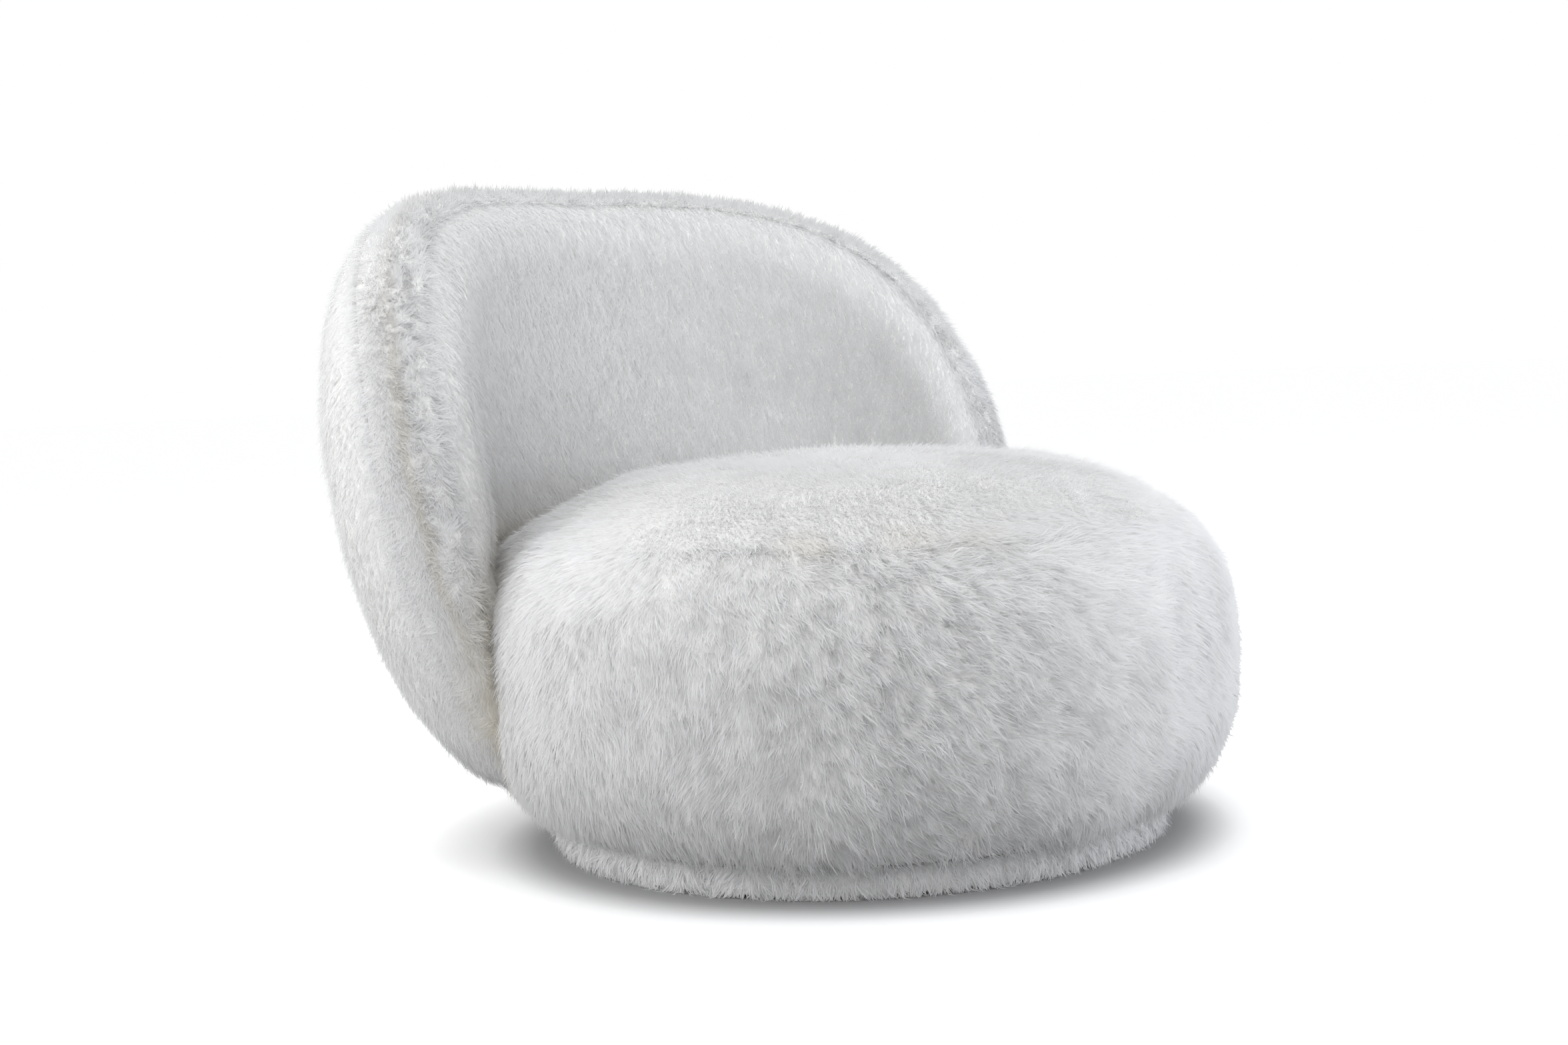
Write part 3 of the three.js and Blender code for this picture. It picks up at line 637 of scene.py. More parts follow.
def set_coordinates(mesh, spots):
    mesh.vertices.foreach_set("co", spots.astype(np.float32).ravel())
    mesh.update()


def point_normals(mesh):
    flat = np.empty(len(mesh.vertices) * 3, np.float32)
    mesh.vertex_normals.foreach_get("vector", flat)
    return flat.reshape(-1, 3).astype(float)


def settled(piece):
    """The piece's mesh with its modifiers worked in."""
    graph = bpy.context.evaluated_depsgraph_get()
    return bpy.data.meshes.new_from_object(piece.evaluated_get(graph), depsgraph=graph)


def open_edge_points(mesh):
    """The numbers of the points on the mesh's open edges, which are its seams."""
    shape = bmesh.new()
    shape.from_mesh(mesh)
    found = [v.index for v in shape.verts if v.is_boundary]
    shape.free()
    return found


def from_edges(piece, spots):
    """How far each point lies from the nearest open edge of the piece."""
    edges = open_edge_points(piece.data)
    tree = kdtree.KDTree(len(edges))
    for index in edges:
        tree.insert(spots[index], index)
    tree.balance()
    return np.array([tree.find(spot)[2] for spot in spots])


def swell(piece, cap):
    """Lets air press a hide out between its seams, with no point moving further than cap."""
    before = coordinates(piece.data)
    inside = ((from_edges(piece, before) - SEWN_WIDTH) / SEWN_WIDTH).clip(0, 1)[:, None]
    seams = piece.vertex_groups.new(name="seams")
    seams.add(open_edge_points(piece.data), 1.0, "REPLACE")
    cloth = piece.modifiers.new("swell", "CLOTH")
    cloth.settings.vertex_group_mass = "seams"
    cloth.settings.use_pressure = True
    cloth.settings.uniform_pressure_force = HIDE_PRESSURE
    cloth.settings.effector_weights.gravity = 0.0
    cloth.point_cache.frame_end = SWELL_FRAMES
    for step in range(1, SWELL_FRAMES + 1):
        bpy.context.scene.frame_set(step)
    after = coordinates(settled(piece))
    piece.modifiers.remove(cloth)
    bpy.context.scene.frame_set(1)
    move = after - before
    length = np.linalg.norm(move, axis=1, keepdims=True)
    set_coordinates(piece.data, before + move * inside * np.minimum(1.0, cap / np.maximum(length, 1e-9)))


def refine(piece, lumps, seed):
    """Subdivides a hide once and gives it the slight lumps of hand-sewn skin."""
    piece.modifiers.new("refine", "SUBSURF").levels = 1
    piece.data = settled(piece)
    piece.modifiers.clear()
    spots = coordinates(piece.data)
    height = ripples(spots, 0.13, seed) + 0.45 * ripples(spots, 0.045, seed + 1)
    set_coordinates(piece.data, spots + point_normals(piece.data) * (height * lumps)[:, None])
    piece.data.shade_smooth()


def tuck_back(piece):
    """Draws the back's padding down into the crease along the seat."""
    spots = coordinates(piece.data)
    near = np.exp(-np.maximum(from_ball(spots), 0.0) / CREASE_REACH)
    shallow = (1 + from_back(spots) / CREASE_PADDING).clip(0, 1)
    within = (0.75 - outer_share(spots)).clip(0, 1)
    move = outward(from_back, spots) * (CREASE_DEPTH * near * shallow * within)[:, None]
    set_coordinates(piece.data, spots - move)


def add_hide(name, spots, ring, material, seed, nodes, body, lumps, on_back=False):
    """Sews one hide through rows of points, swells it, and lets it stand for its CAD nodes."""
    piece = add_piece(name, sheet_mesh(name, spots, ring), material)
    swell(piece, HIDE_SWELL)
    refine(piece, lumps, seed)
    if on_back:
        tuck_back(piece)
    thickness = piece.modifiers.new("leather", "SOLIDIFY")
    thickness.thickness = HIDE_THICKNESS
    thickness.offset = -1.0
    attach(piece, body)
    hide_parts(*nodes)
    return piece


def seat_top_hide(material):
    angle = np.linspace(0, 2 * math.pi, 220, endpoint=False)[None, :]
    share = np.concatenate([[-0.03, 0.0, 0.004], np.linspace(0, 1, 30)[1:]])[:, None]
    seam = ball_turn(SEAT_SEAM)
    turn = seam + (math.pi / 2 - seam) * power(share, 0.8)
    inset = HIDE_INSET + (HIDE_SEAM_INSET - HIDE_INSET) * np.exp(-share.clip(0) / 0.05)
    inset[0] = HIDE_TUCK_INSET
    spots = ball_spots(angle, turn + 0 * angle, inset + 0 * angle)
    nodes = ["seat_top_fur"]
    lumps = SEAT_LUMP_HEIGHT
    return add_hide("seat_top_hide", spots, True, material, SEAT_LUMP_SEED, nodes, "upper_body", lumps)


def seat_side_hide(material):
    angle = np.linspace(0, 2 * math.pi, 240, endpoint=False)[None, :]
    share = np.concatenate([np.linspace(0, 1, 34)[:-1], [0.996, 1.0, 1.02]])[:, None]
    foot = ball_turn(SEAT_UNDERSIDE + HIDE_INSET)
    turn = foot + (ball_turn(SEAT_SEAM) - foot) * share
    inset = HIDE_INSET + (HIDE_SEAM_INSET - HIDE_INSET) * np.exp(-np.abs(1 - share) / 0.03)
    inset[-1] = HIDE_TUCK_INSET
    spots = ball_spots(angle, turn + 0 * angle, inset + 0 * angle)
    under = ball_spots(angle, foot + 0 * angle, HIDE_INSET)
    radius = np.hypot(under[0, 0, 0] - AXIS[0], under[0, 0, 1] - AXIS[1])
    rows = []
    for part in np.linspace(0, 1, 8)[:-1]:
        r = SEAT_UNDER_OPENING + (radius - SEAT_UNDER_OPENING) * part
        flat = np.stack([r * np.cos(angle[0]), r * np.sin(angle[0]), 0 * angle[0]], axis=-1)
        rows.append(AXIS + flat + UP * (SEAT_UNDERSIDE + 0.003 + 0.004 * part))
    spots = np.concatenate([np.array(rows), spots])
    nodes = ["seat_side_fur"]
    lumps = SEAT_LUMP_HEIGHT
    return add_hide("seat_side_hide", spots, True, material, SEAT_LUMP_SEED, nodes, "upper_body", lumps)


def add_back_hide(name, spots, material):
    """A hide of the back, which is drawn down into the crease along the seat."""
    nodes = [name.replace("_hide", "_fur")]
    lumps = BACK_LUMP_HEIGHT
    return add_hide(name, spots, False, material, BACK_LUMP_SEED, nodes, "upper_body", lumps, on_back=True)


def along_rim(columns):
    """Turns along the back's rim, closer together round its two corners."""
    theta = np.linspace(0, math.pi, columns)
    return theta - 0.32 * np.sin(4 * theta) / 4


def slab_row(turn, columns, inset):
    return slab_spots(along_rim(columns), turn, 0.0, inset)


def back_spots(from_turn, to_turn, turns, shares, columns, inset):
    """Rows of points on the back, across its rim between two turns and then down a face by shares."""
    theta = along_rim(columns)
    rows = []
    for turn in np.linspace(from_turn, to_turn, turns):
        rows.append(slab_spots(theta, turn, 0.0, inset))
    for share in shares:
        rows.append(slab_spots(theta, to_turn, share, inset))
    return np.array(rows)


FACE_SHARES = np.linspace(0, 1, 26)[1:] ** 1.15
TUCK_TURN = 6.0


def back_face_spots(side, columns):
    """Rows of points on one face of the back, tucked under the edge band at their first row."""
    tuck = slab_row(side * (EDGE_BAND_HALF_TURN - TUCK_TURN), columns, HIDE_TUCK_INSET)
    seam = slab_row(side * EDGE_BAND_HALF_TURN, columns, HIDE_SEAM_INSET)
    close = slab_row(side * (EDGE_BAND_HALF_TURN + 0.6), columns, HIDE_INSET)
    face = back_spots(side * (EDGE_BAND_HALF_TURN + 6), side * 90, 7, FACE_SHARES, columns, HIDE_INSET)
    return np.concatenate([[tuck], [seam], [close], face])


def back_inner_hide(material):
    return add_back_hide("back_inner_hide", back_face_spots(-1, 130), material)


def back_outer_hide(material):
    return add_back_hide("back_outer_hide", back_face_spots(1, 140)[:, ::-1], material)


def back_edge_hide(material):
    rows = []
    for turn in np.array([-1, -0.98, *np.linspace(-0.85, 0.85, 11), 0.98, 1]) * EDGE_BAND_HALF_TURN:
        rows.append(slab_row(turn, 200, HIDE_INSET))
    last = EDGE_BAND_HALF_TURN + TUCK_TURN
    rows = [slab_row(-last, 200, HIDE_TUCK_INSET), *rows, slab_row(last, 200, HIDE_TUCK_INSET)]
    return add_back_hide("back_edge_hide", np.array(rows)[:, ::-1], material)


def plinth_hide(material):
    """The band round the plinth, rolled over its top edge."""
    angle = np.linspace(0, 2 * math.pi, 200, endpoint=False)
    inner = PLINTH_RADIUS - PLINTH_FUR_DEPTH
    rows = []
    for turn in np.radians(np.linspace(-90, 90, 14)):
        r = inner + (PLINTH_FUR_DEPTH - 0.006) * math.cos(turn) ** 0.5
        z = PLINTH_TOP / 2 + (PLINTH_TOP / 2 - 0.004) * math.sin(turn)
        ring = np.stack([r * np.cos(angle), r * np.sin(angle), 0 * angle + z], axis=-1)
        rows.append(AXIS + ring)
    nodes = ["plinth_fur_band"]
    lumps = PLINTH_LUMP_HEIGHT
    return add_hide("plinth_hide", np.array(rows), True, material, PLINTH_LUMP_SEED, nodes, "plinth", lumps)


# Pile


@dataclass
class Coat:
    """How one panel's pile grows, in metres and degrees.

    Locks are sown all over the hide, each with some strands, and those too near a neighbour are left out.
    Lift and droop are a strand's angles off the hide at its root and tip. Spread is how far strands stand
    round their lock's middle, and gather how far they draw in toward it. Curl is the most that a lock turns
    on its way. Stray and fray are how far locks and strands lie off the combing. Tilt and billow are how
    unevenly they catch the light, and uneven is how much locks differ in length and lift.
    """

    locks: int
    strands: int
    length: float
    width: float
    lift: float
    droop: float
    spread: float
    gather: float
    curl: float
    stray: float
    fray: float
    tilt: float
    uneven: float
    billow: float
    comb: callable
    free: callable
    loose: callable
    # Where the pile gets painted shade, from 0 to 2
    painted_shade_at: callable
    outs: callable
    growth: callable
    room: callable
    pieces: callable


def scatter(mesh, count, draw):
    """Random points spread evenly over a mesh, with the surface's normal at each."""
    mesh.calc_loop_triangles()
    corners = np.empty(len(mesh.loop_triangles) * 3, np.int32)
    mesh.loop_triangles.foreach_get("vertices", corners)
    corners = corners.reshape(-1, 3)
    spots = coordinates(mesh)
    outs = point_normals(mesh)
    a, b, c = (spots[corners[:, i]] for i in range(3))
    area = np.linalg.norm(np.cross(b - a, c - a), axis=1)
    steps = (np.arange(count) + draw.random(count)) / count
    chosen = np.searchsorted(np.cumsum(area) / area.sum(), steps).clip(0, len(corners) - 1)
    u, v = draw.random(count), draw.random(count)
    over = u + v > 1
    u[over], v[over] = 1 - u[over], 1 - v[over]
    weights = np.stack([1 - u - v, u, v], axis=1)[:, :, None]
    picked = corners[chosen]
    return (spots[picked] * weights).sum(1), unit((outs[picked] * weights).sum(1))


def turned(ways, outs, angle):
    """Directions turned about the normals by an angle each."""
    return ways * np.cos(angle)[:, None] + np.cross(outs, ways) * np.sin(angle)[:, None]


def downhill(outs):
    """The way down the surface, and outward where it lies flat."""
    return unit(-UP + outs * (outs @ UP)[:, None])


def strand_mesh(name, spots, outs, sides, widths, facts):
    """Flat tapering strands. Spots, outs and sides hold one row of points for each strand."""
    count, knots = spots.shape[:2]
    left = spots[:, :-1] - sides[:, :-1] * widths[:, :-1, None] / 2
    right = spots[:, :-1] + sides[:, :-1] * widths[:, :-1, None] / 2
    pairs = np.stack([left, right], axis=2).reshape(count, -1, 3)
    points = np.concatenate([pairs, spots[:, -1:]], axis=1)
    each = points.shape[1]
    quads = [[2 * k, 2 * k + 1, 2 * k + 3, 2 * k + 2] for k in range(knots - 2)]
    one = np.array([i for quad in quads for i in quad] + [each - 3, each - 2, each - 1])
    sizes = np.array([4] * len(quads) + [3])
    corners = (np.arange(count)[:, None] * each + one[None, :]).ravel()
    starts = np.concatenate([[0], np.cumsum(np.tile(sizes, count))[:-1]])
    mesh = bpy.data.meshes.new(name)
    mesh.vertices.add(count * each)
    mesh.vertices.foreach_set("co", points.astype(np.float32).ravel())
    mesh.loops.add(len(corners))
    mesh.loops.foreach_set("vertex_index", corners.astype(np.int32))
    mesh.polygons.add(len(starts))
    mesh.polygons.foreach_set("loop_start", starts.astype(np.int32))
    mesh.update(calc_edges=True)
    mesh.shade_smooth()
    normals = np.concatenate([np.repeat(outs[:, :-1], 2, axis=1), outs[:, -1:]], axis=1)
    keep_strand_facts(mesh, count, knots, facts)
    lay_out_cells(mesh, count, knots, corners)
    mesh.normals_split_custom_set_from_vertices(normals.reshape(-1, 3))
    return mesh


def keep_strand_facts(mesh, count, knots, facts):
    """Keeps how far along its strand each point lies, and each of the strand's own numbers."""
    steps = np.arange(knots) / (knots - 1)
    along = np.concatenate([np.repeat(steps[:-1], 2), steps[-1:]])
    tables = {"along": np.tile(along, count)}
    for fact, values in facts.items():
        tables[fact] = np.repeat(values, len(along))
    for fact, table in tables.items():
        kept = mesh.attributes.new(fact, "FLOAT", "POINT")
        kept.data.foreach_set("value", table.astype(np.float32))


def lay_out_cells(mesh, count, knots, corners):
    """A map with a square cell for each strand."""
    steps = np.arange(knots) / (knots - 1)
    along = np.concatenate([np.repeat(steps[:-1], 2), steps[-1:]])
    across = np.concatenate([np.tile([0.0, 1.0], knots - 1), [0.5]])
    cells = math.ceil(math.sqrt(count))
    number = np.arange(count)
    u = (number % cells)[:, None] + 0.15 + 0.7 * across[None, :]
    v = (number // cells)[:, None] + 0.15 + 0.7 * along[None, :]
    places = np.stack([u, v], axis=-1).reshape(-1, 2) / cells
    mesh.uv_layers.new(name="OFBake").data.foreach_set("uv", places[corners].astype(np.float32).ravel())


def varied(draw, count, spread, least, most):
    """Random factors about 1."""
    return (1 + spread * draw.normal(size=count)).clip(least, most)


def billowed(roots, seed):
    """A smooth random lean for each lock, so that neighbouring locks stand alike."""
    waves = []
    for k in range(3):
        waves.append(0.5 * ripples(roots, 0.050, seed + k) + ripples(roots, 0.019, seed + k + 10))
    return np.stack(waves, axis=-1)


def lock_roots(hide, coat, draw):
    """Roots spread over the part of a hide that is free of its neighbours, with smooth outward ways."""
    roots, outs = scatter(hide.data, coat.locks, draw)
    if coat.outs:
        outs = unit(coat.outs(roots) + HIDE_BENDS * outs)
    kept = coat.free(roots)
    return roots[kept], outs[kept]


def strand_paths(coat, roots, outs, ways, lock, loose, draw):
    """The points of each strand from root to tip, which strands of one lock share in most."""
    count = len(roots)
    side = np.cross(ways, outs)
    across, back = draw.normal(size=(2, count)).clip(-1.8, 1.8)
    spread = coat.spread * (1 + 1.2 * (1 - loose))
    offset = side * (across * spread)[:, None] + ways * (back * spread * 1.3)[:, None]
    twist = draw.normal(0, STRAND_TWIST, count)
    flying = draw.random(count) < FLYING_SHARE
    rooted = lock["lift"] + np.where(flying, math.radians(FLYING_LIFT) * (0.5 + 0.5 * loose), 0.0)
    longer = np.where(flying, FLYING_LENGTH, 1.0)
    step = lock["length"] * varied(draw, count, 0.15, 0.5, 1.4) * longer / SEGMENTS
    droop = math.radians(coat.droop)
    draw_in = offset * (coat.gather * loose / SEGMENTS)[:, None]
    spots = [roots + offset]
    sides = []
    for k in range(SEGMENTS):
        share = (k + 0.5) / SEGMENTS
        rise = rooted + (droop - rooted) * share
        run = turned(ways, outs, lock["curl"] * share)
        going = run * np.cos(rise)[:, None] + outs * np.sin(rise)[:, None]
        spots.append(spots[-1] + going * step[:, None] - draw_in)
        sides.append(unit(turned(unit(np.cross(going, outs)), going, twist)))
    spots = coat.room(np.stack(spots, axis=1))
    return spots, np.stack([sides[0], *sides], axis=1), side * across[:, None]


def quarters(roots):
    """Which roots stand to the left and right of the middle, and in front of the axis and behind it."""
    on_right = roots[:, 0] > 0
    in_front = roots[:, 1] < AXIS[1]
    return {
        "left_front": ~on_right & in_front,
        "left_rear": ~on_right & ~in_front,
        "right_front": on_right & in_front,
        "right_rear": on_right & ~in_front,
    }


def halves(roots):
    """Which roots stand to the left and right of the middle."""
    on_right = roots[:, 0] > 0
    return {"left": ~on_right, "right": on_right}


def lock_facts(coat, roots, outs, loose, seed, draw):
    """Which way each lock runs, and its length, lift, curl and tone."""
    locks = len(roots)
    calm = calmed(loose)
    rise = (0.7 + 0.3 * loose) * (1 + 0.9 * coat.billow * loose * ripples(roots, 0.020, seed + 40))
    ways = turned(coat.comb(roots, outs), outs, draw.normal(0, math.radians(coat.stray), locks) * calm)
    length = coat.length * coat.growth(roots, outs)
    lift = math.radians(coat.lift)
    return ways, {
        "length": length * varied(draw, locks, coat.uneven * loose, 0.45, 1.6),
        "lift": lift * varied(draw, locks, coat.uneven * loose, 0.4, 1.5) * rise,
        "curl": math.radians(coat.curl) * draw.uniform(-1, 1, locks) * calm,
        "tone": 0.5 + (draw.random(locks) - 0.5) * calm,
    }


def calmed(loose):
    """How far the random turns and tones of a lock count, by how loose it is."""
    return 0.45 + 0.55 * loose


def grow(panel, hide, coat, material, body, seed):
    """Grows one panel's pile on its hide, lock by lock."""
    draw = np.random.default_rng(seed)
    roots, outs = lock_roots(hide, coat, draw)
    locks = len(roots)
    loose = coat.loose(roots)
    ways, lock = lock_facts(coat, roots, outs, loose, seed, draw)
    lean = (draw.normal(0, 1, (locks, 3)) * coat.tilt + billowed(roots, seed) * coat.billow) * loose[:, None]
    number = np.repeat(np.arange(locks), coat.strands)
    out = outs[number]
    fray = draw.normal(0, math.radians(coat.fray), len(number)) * calmed(loose)[number]
    way = turned(ways[number], out, fray)
    of_lock = {fact: values[number] for fact, values in lock.items()}
    spots, sides, rounded = strand_paths(coat, roots[number], out, way, of_lock, loose[number], draw)
    taper = coat.width * np.linspace(1, TIP_WIDTH, SEGMENTS + 1)
    widths = taper * varied(draw, len(number), 0.25, 0.5, 1.6)[:, None]
    normals = out + rounded * (coat.tilt * 1.6 * loose[number])[:, None] + lean[number]
    normals = unit(np.repeat(normals[:, None, :], SEGMENTS + 1, axis=1))
    tone = 0.6 * of_lock["tone"] + 0.4 * draw.random(len(number))
    # Each strand keeps its painted shade from the creases, seams and parting
    facts = {"shade": tone.clip(0, 1), "painted_shade": coat.painted_shade_at(spots[:, 0])}
    tables = (spots, normals, sides, widths)
    for end, part in coat.pieces(roots[number]).items():
        name = f"{panel}_pile_{end}"
        own_facts = {fact: values[part] for fact, values in facts.items()}
        mesh = strand_mesh(name, *(table[part] for table in tables), own_facts)
        piece = add_piece(name, mesh, material)
        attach(piece, body)


def painted_seat_shade(spots):
    """Where the seat's pile gets painted shade: in the crease along the back, and in places along its front
    seam.
    """
    patches = (0.35 + 0.5 * ripples(spots, 0.08, 82)).clip(0, 1)
    parting = bell(spots[:, 2], SEAT_SEAM, SEAM_SHADE_REACH)
    at_corner = bell(seat_angle(spots), SEAM_SHADE_TURN, SEAM_SHADE_SPREAD)
    in_crease = np.exp(-np.maximum(from_back(spots), 0.0) / SEAT_CREASE_REACH)
    # Painted shade in the crease by the back and in patches along the front seam
    return np.maximum(0.5 * in_crease, 0.7 * patches * parting * at_corner)


def painted_back_crease_shade(spots):
    """How much painted shade the back's pile gets: warm painted shade in the crease along the seat, and an
    olive-brown painted shadow toward its left end.
    """
    off_seat = np.maximum(from_ball(spots), 0.0)
    # A painted olive-brown shadow wedge next to the seat, toward the back's left end
    painted_wedge = 1.1 * bell(seat_angle(spots), PAINTED_WEDGE_TURN, PAINTED_WEDGE_SPREAD)
    return 0.9 * np.exp(-off_seat / BACK_CREASE_REACH) + painted_wedge * bell(off_seat, 0.0, PAINTED_WEDGE_REACH)


def painted_rim_shade(spots):
    """Painted shade on the rim's pile along its parting, more at the ends of the back than over its top,
    together with the back's painted crease shade.
    """
    low = (1.15 - spots[:, 2] / BACK_HEIGHT).clip(0, 0.5) * 2
    parted = bell(outer_share(spots), PARTING_SHARE, PARTING_WIDTH) * low * at_left_end(spots)
    return np.maximum(0.85 * parted, painted_back_crease_shade(spots))


def nowhere(spots):
    return np.zeros(len(spots))


def seat_angle(spots):
    return np.degrees(np.arctan2(spots[:, 1] - AXIS[1], spots[:, 0] - AXIS[0]))


def at_left_end(spots):
    return ((LEFT_END_START - spots[:, 0]) / LEFT_END_REACH).clip(0, 1)


def tufted_rim(spots):
    """The rim's pile stands in tufts inside its parting, mostly at its left end, and lies smooth beyond."""
    inside = ((PARTING_SHARE + TUFTS_BEYOND_PARTING - outer_share(spots)) / TUFTS_FADE).clip(0, 1)
    return 0.15 + 0.85 * inside * (0.35 + 0.65 * at_left_end(spots))


def evenly(spots):
    """The pile as its coat has it all over the panel."""
    return np.ones(len(spots))


def more_in_front(spots):
    """The seat's pile lies smooth toward both sides and stands in loose locks round the front."""
    off_front = np.abs((seat_angle(spots) - LOOSE_TURN + 180) % 360 - 180)
    return 0.12 + 0.88 * bell(off_front, 0.0, LOOSE_SPREAD)


def comb_seat_side(spots, outs):
    """Down the seat's side, slanting further to the right round the front."""
    angle = seat_angle(spots)
    front = np.clip((angle + 175) / 55, 0, 1) * (angle < 60)
    swirl = 0.30 * ripples(spots, 0.24, 71) + 0.20 * ripples(spots, 0.06, 72)
    tufts = 0.14 * ripples(spots, 0.020, 83) * more_in_front(spots)
    return turned(downhill(outs), outs, 0.75 * front + swirl + tufts)


def comb_seat_top(spots, outs):
    """Outward over the seat's crown, in drifting swirls."""
    swirl = 0.40 * ripples(spots, 0.22, 73) + 0.14 * ripples(spots, 0.06, 74)
    return turned(downhill(outs), outs, swirl)


def on_crown(spots, outs):
    """How near the back's crown points lie, from 0 to 1."""
    return (outs @ UP).clip(0, 1) * bell(inside_rim(spots), HIDE_INSET, CROWN_WIDTH)


def anywhere(spots):
    return spots


def above_plinth(spots):
    """Holds the pile over the plinth in the upper half of the swivel's gap, so that it can turn freely."""
    radius = np.hypot(spots[..., 0] - AXIS[0], spots[..., 1] - AXIS[1])
    over_plinth = radius < PLINTH_RADIUS + PLINTH_PILE_DEPTH
    lowest = np.where(over_plinth, SWIVEL_GAP_MIDDLE + SWIVEL_GAP_CLEAR, FLOOR_GAP)
    spots[..., 2] = np.maximum(spots[..., 2], lowest)
    return spots


def on_plinth(spots):
    """Holds the pile between the floor and the lower half of the swivel's gap."""
    spots[..., 2] = spots[..., 2].clip(FLOOR_GAP, SWIVEL_GAP_MIDDLE - SWIVEL_GAP_CLEAR)
    return spots


def stood_up(ways, spots, outs):
    """The pile stands up along the back's crown, where neither face draws it down."""
    return unit(ways + outs * on_crown(spots, outs)[:, None])


def shorter_on_crown(spots, outs):
    """The pile is half as long along the back's crown."""
    return 1 - 0.5 * on_crown(spots, outs)


def all_one_length(spots, outs):
    return np.ones(len(spots))


def comb_inner(spots, outs):
    """Straight down the back's smooth inner face."""
    swirl = 0.10 * ripples(spots, 0.30, 75) + 0.09 * ripples(spots, 0.05, 76)
    return stood_up(turned(downhill(outs), outs, swirl), spots, outs)


def comb_outer(spots, outs):
    """Down the back's outer face."""
    swirl = 0.14 * ripples(spots, 0.30, 77) + 0.10 * ripples(spots, 0.06, 78)
    return stood_up(turned(downhill(outs), outs, swirl), spots, outs)


def comb_edge(spots, outs):
    """Every way in tufts along the back's rim, forward over its crown, and over the seam at both sides."""
    from_axis = unit((spots - AXIS) * np.array([1.0, 1.0, 0.0]))
    forward = 0.7 * (outs @ UP).clip(0, 1)[:, None]
    down = -UP - from_axis * forward
    swirl = 1.6 * ripples(spots, 0.035, 79) + 0.5 * ripples(spots, 0.2, 80)
    ways = turned(unit(down - outs * (down * outs).sum(1)[:, None]), outs, swirl * tufted_rim(spots))
    share = outer_share(spots)
    seam = math.sin(math.radians(EDGE_BAND_HALF_TURN))
    across = unit(from_axis - outs * (from_axis * outs).sum(1)[:, None]) * np.sign(share)[:, None]
    over = (1 - (seam - np.abs(share)) / (0.45 * seam)).clip(0, 1)[:, None]
    return stood_up(unit(ways * (1 - over) + across * over), spots, outs)


def comb_plinth(spots, outs):
    """Down the plinth to the floor."""
    return turned(downhill(outs), outs, 0.25 * ripples(spots, 0.05, 81))


def free_of_back(spots):
    return from_back(spots) > -SEAT_PILE_OVERLAP


def free_of_seat(spots):
    return (from_ball(spots) > -BACK_PILE_OVERLAP) & (spots[:, 2] > BACK_FOOT_HEIGHT + BACK_FOOT_BARE)


def off_floor(spots):
    return spots[:, 2] > PLINTH_FOOT_BARE


def side_front(spots):
    radius = np.hypot(spots[:, 0] - AXIS[0], spots[:, 1] - AXIS[1])
    return free_of_back(spots) & (radius > PLINTH_RADIUS - UNDERSIDE_PILE_DEPTH)


COATS = {
    "seat_side": Coat(
        locks=46000, strands=4, length=0.0170, width=0.0009, lift=44, droop=14, spread=0.0020, gather=0.85,
        curl=24, stray=11, fray=12, tilt=0.160, uneven=0.28, billow=0.175,
        comb=comb_seat_side, free=side_front, loose=more_in_front, painted_shade_at=painted_seat_shade, outs=ball_outs,
        growth=all_one_length, room=above_plinth, pieces=quarters,
    ),
    "seat_top": Coat(
        locks=105000, strands=1, length=0.0130, width=0.0009, lift=34, droop=14, spread=0.0, gather=0.0,
        curl=20, stray=8, fray=8, tilt=0.030, uneven=0.12, billow=0.080,
        comb=comb_seat_top, free=free_of_back, loose=evenly, painted_shade_at=painted_seat_shade, outs=ball_outs,
        growth=all_one_length, room=anywhere, pieces=halves,
    ),
    "back_inner": Coat(
        locks=140000, strands=1, length=0.0120, width=0.0009, lift=28, droop=14, spread=0.0, gather=0.0,
        curl=10, stray=8, fray=12, tilt=0.010, uneven=0.06, billow=0.020,
        comb=comb_inner, free=free_of_seat, loose=evenly, painted_shade_at=painted_back_crease_shade, outs=back_outs,
        growth=shorter_on_crown, room=anywhere, pieces=halves,
    ),
    "back_outer": Coat(
        locks=132000, strands=1, length=0.0120, width=0.0010, lift=34, droop=14, spread=0.0, gather=0.0,
        curl=10, stray=6, fray=8, tilt=0.006, uneven=0.06, billow=0.025,
        comb=comb_outer, free=free_of_seat, loose=evenly, painted_shade_at=nowhere, outs=back_outs,
        growth=shorter_on_crown, room=anywhere, pieces=halves,
    ),
    "back_edge": Coat(
        locks=16000, strands=5, length=0.0125, width=0.0010, lift=34, droop=16, spread=0.0024, gather=0.40,
        curl=40, stray=18, fray=20, tilt=0.050, uneven=0.20, billow=0.090,
        comb=comb_edge, free=free_of_seat, loose=tufted_rim, painted_shade_at=painted_rim_shade, outs=back_outs,
        growth=shorter_on_crown, room=anywhere, pieces=halves,
    ),
    "plinth": Coat(
        locks=6000, strands=5, length=0.0130, width=0.0010, lift=28, droop=-6, spread=0.0024, gather=0.80,
        curl=24, stray=14, fray=14, tilt=0.080, uneven=0.40, billow=0.060,
        comb=comb_plinth, free=off_floor, loose=evenly, painted_shade_at=nowhere, outs=None,
        growth=all_one_length, room=on_plinth, pieces=halves,
    ),
}


def grow_pile(hides, material):
    for seed, (panel, coat) in enumerate(COATS.items()):
        body = "plinth" if panel == "plinth" else "upper_body"
        grow(panel, hides[panel], coat, material, body, FIRST_PILE_SEED + seed)


# Hidden soft pieces


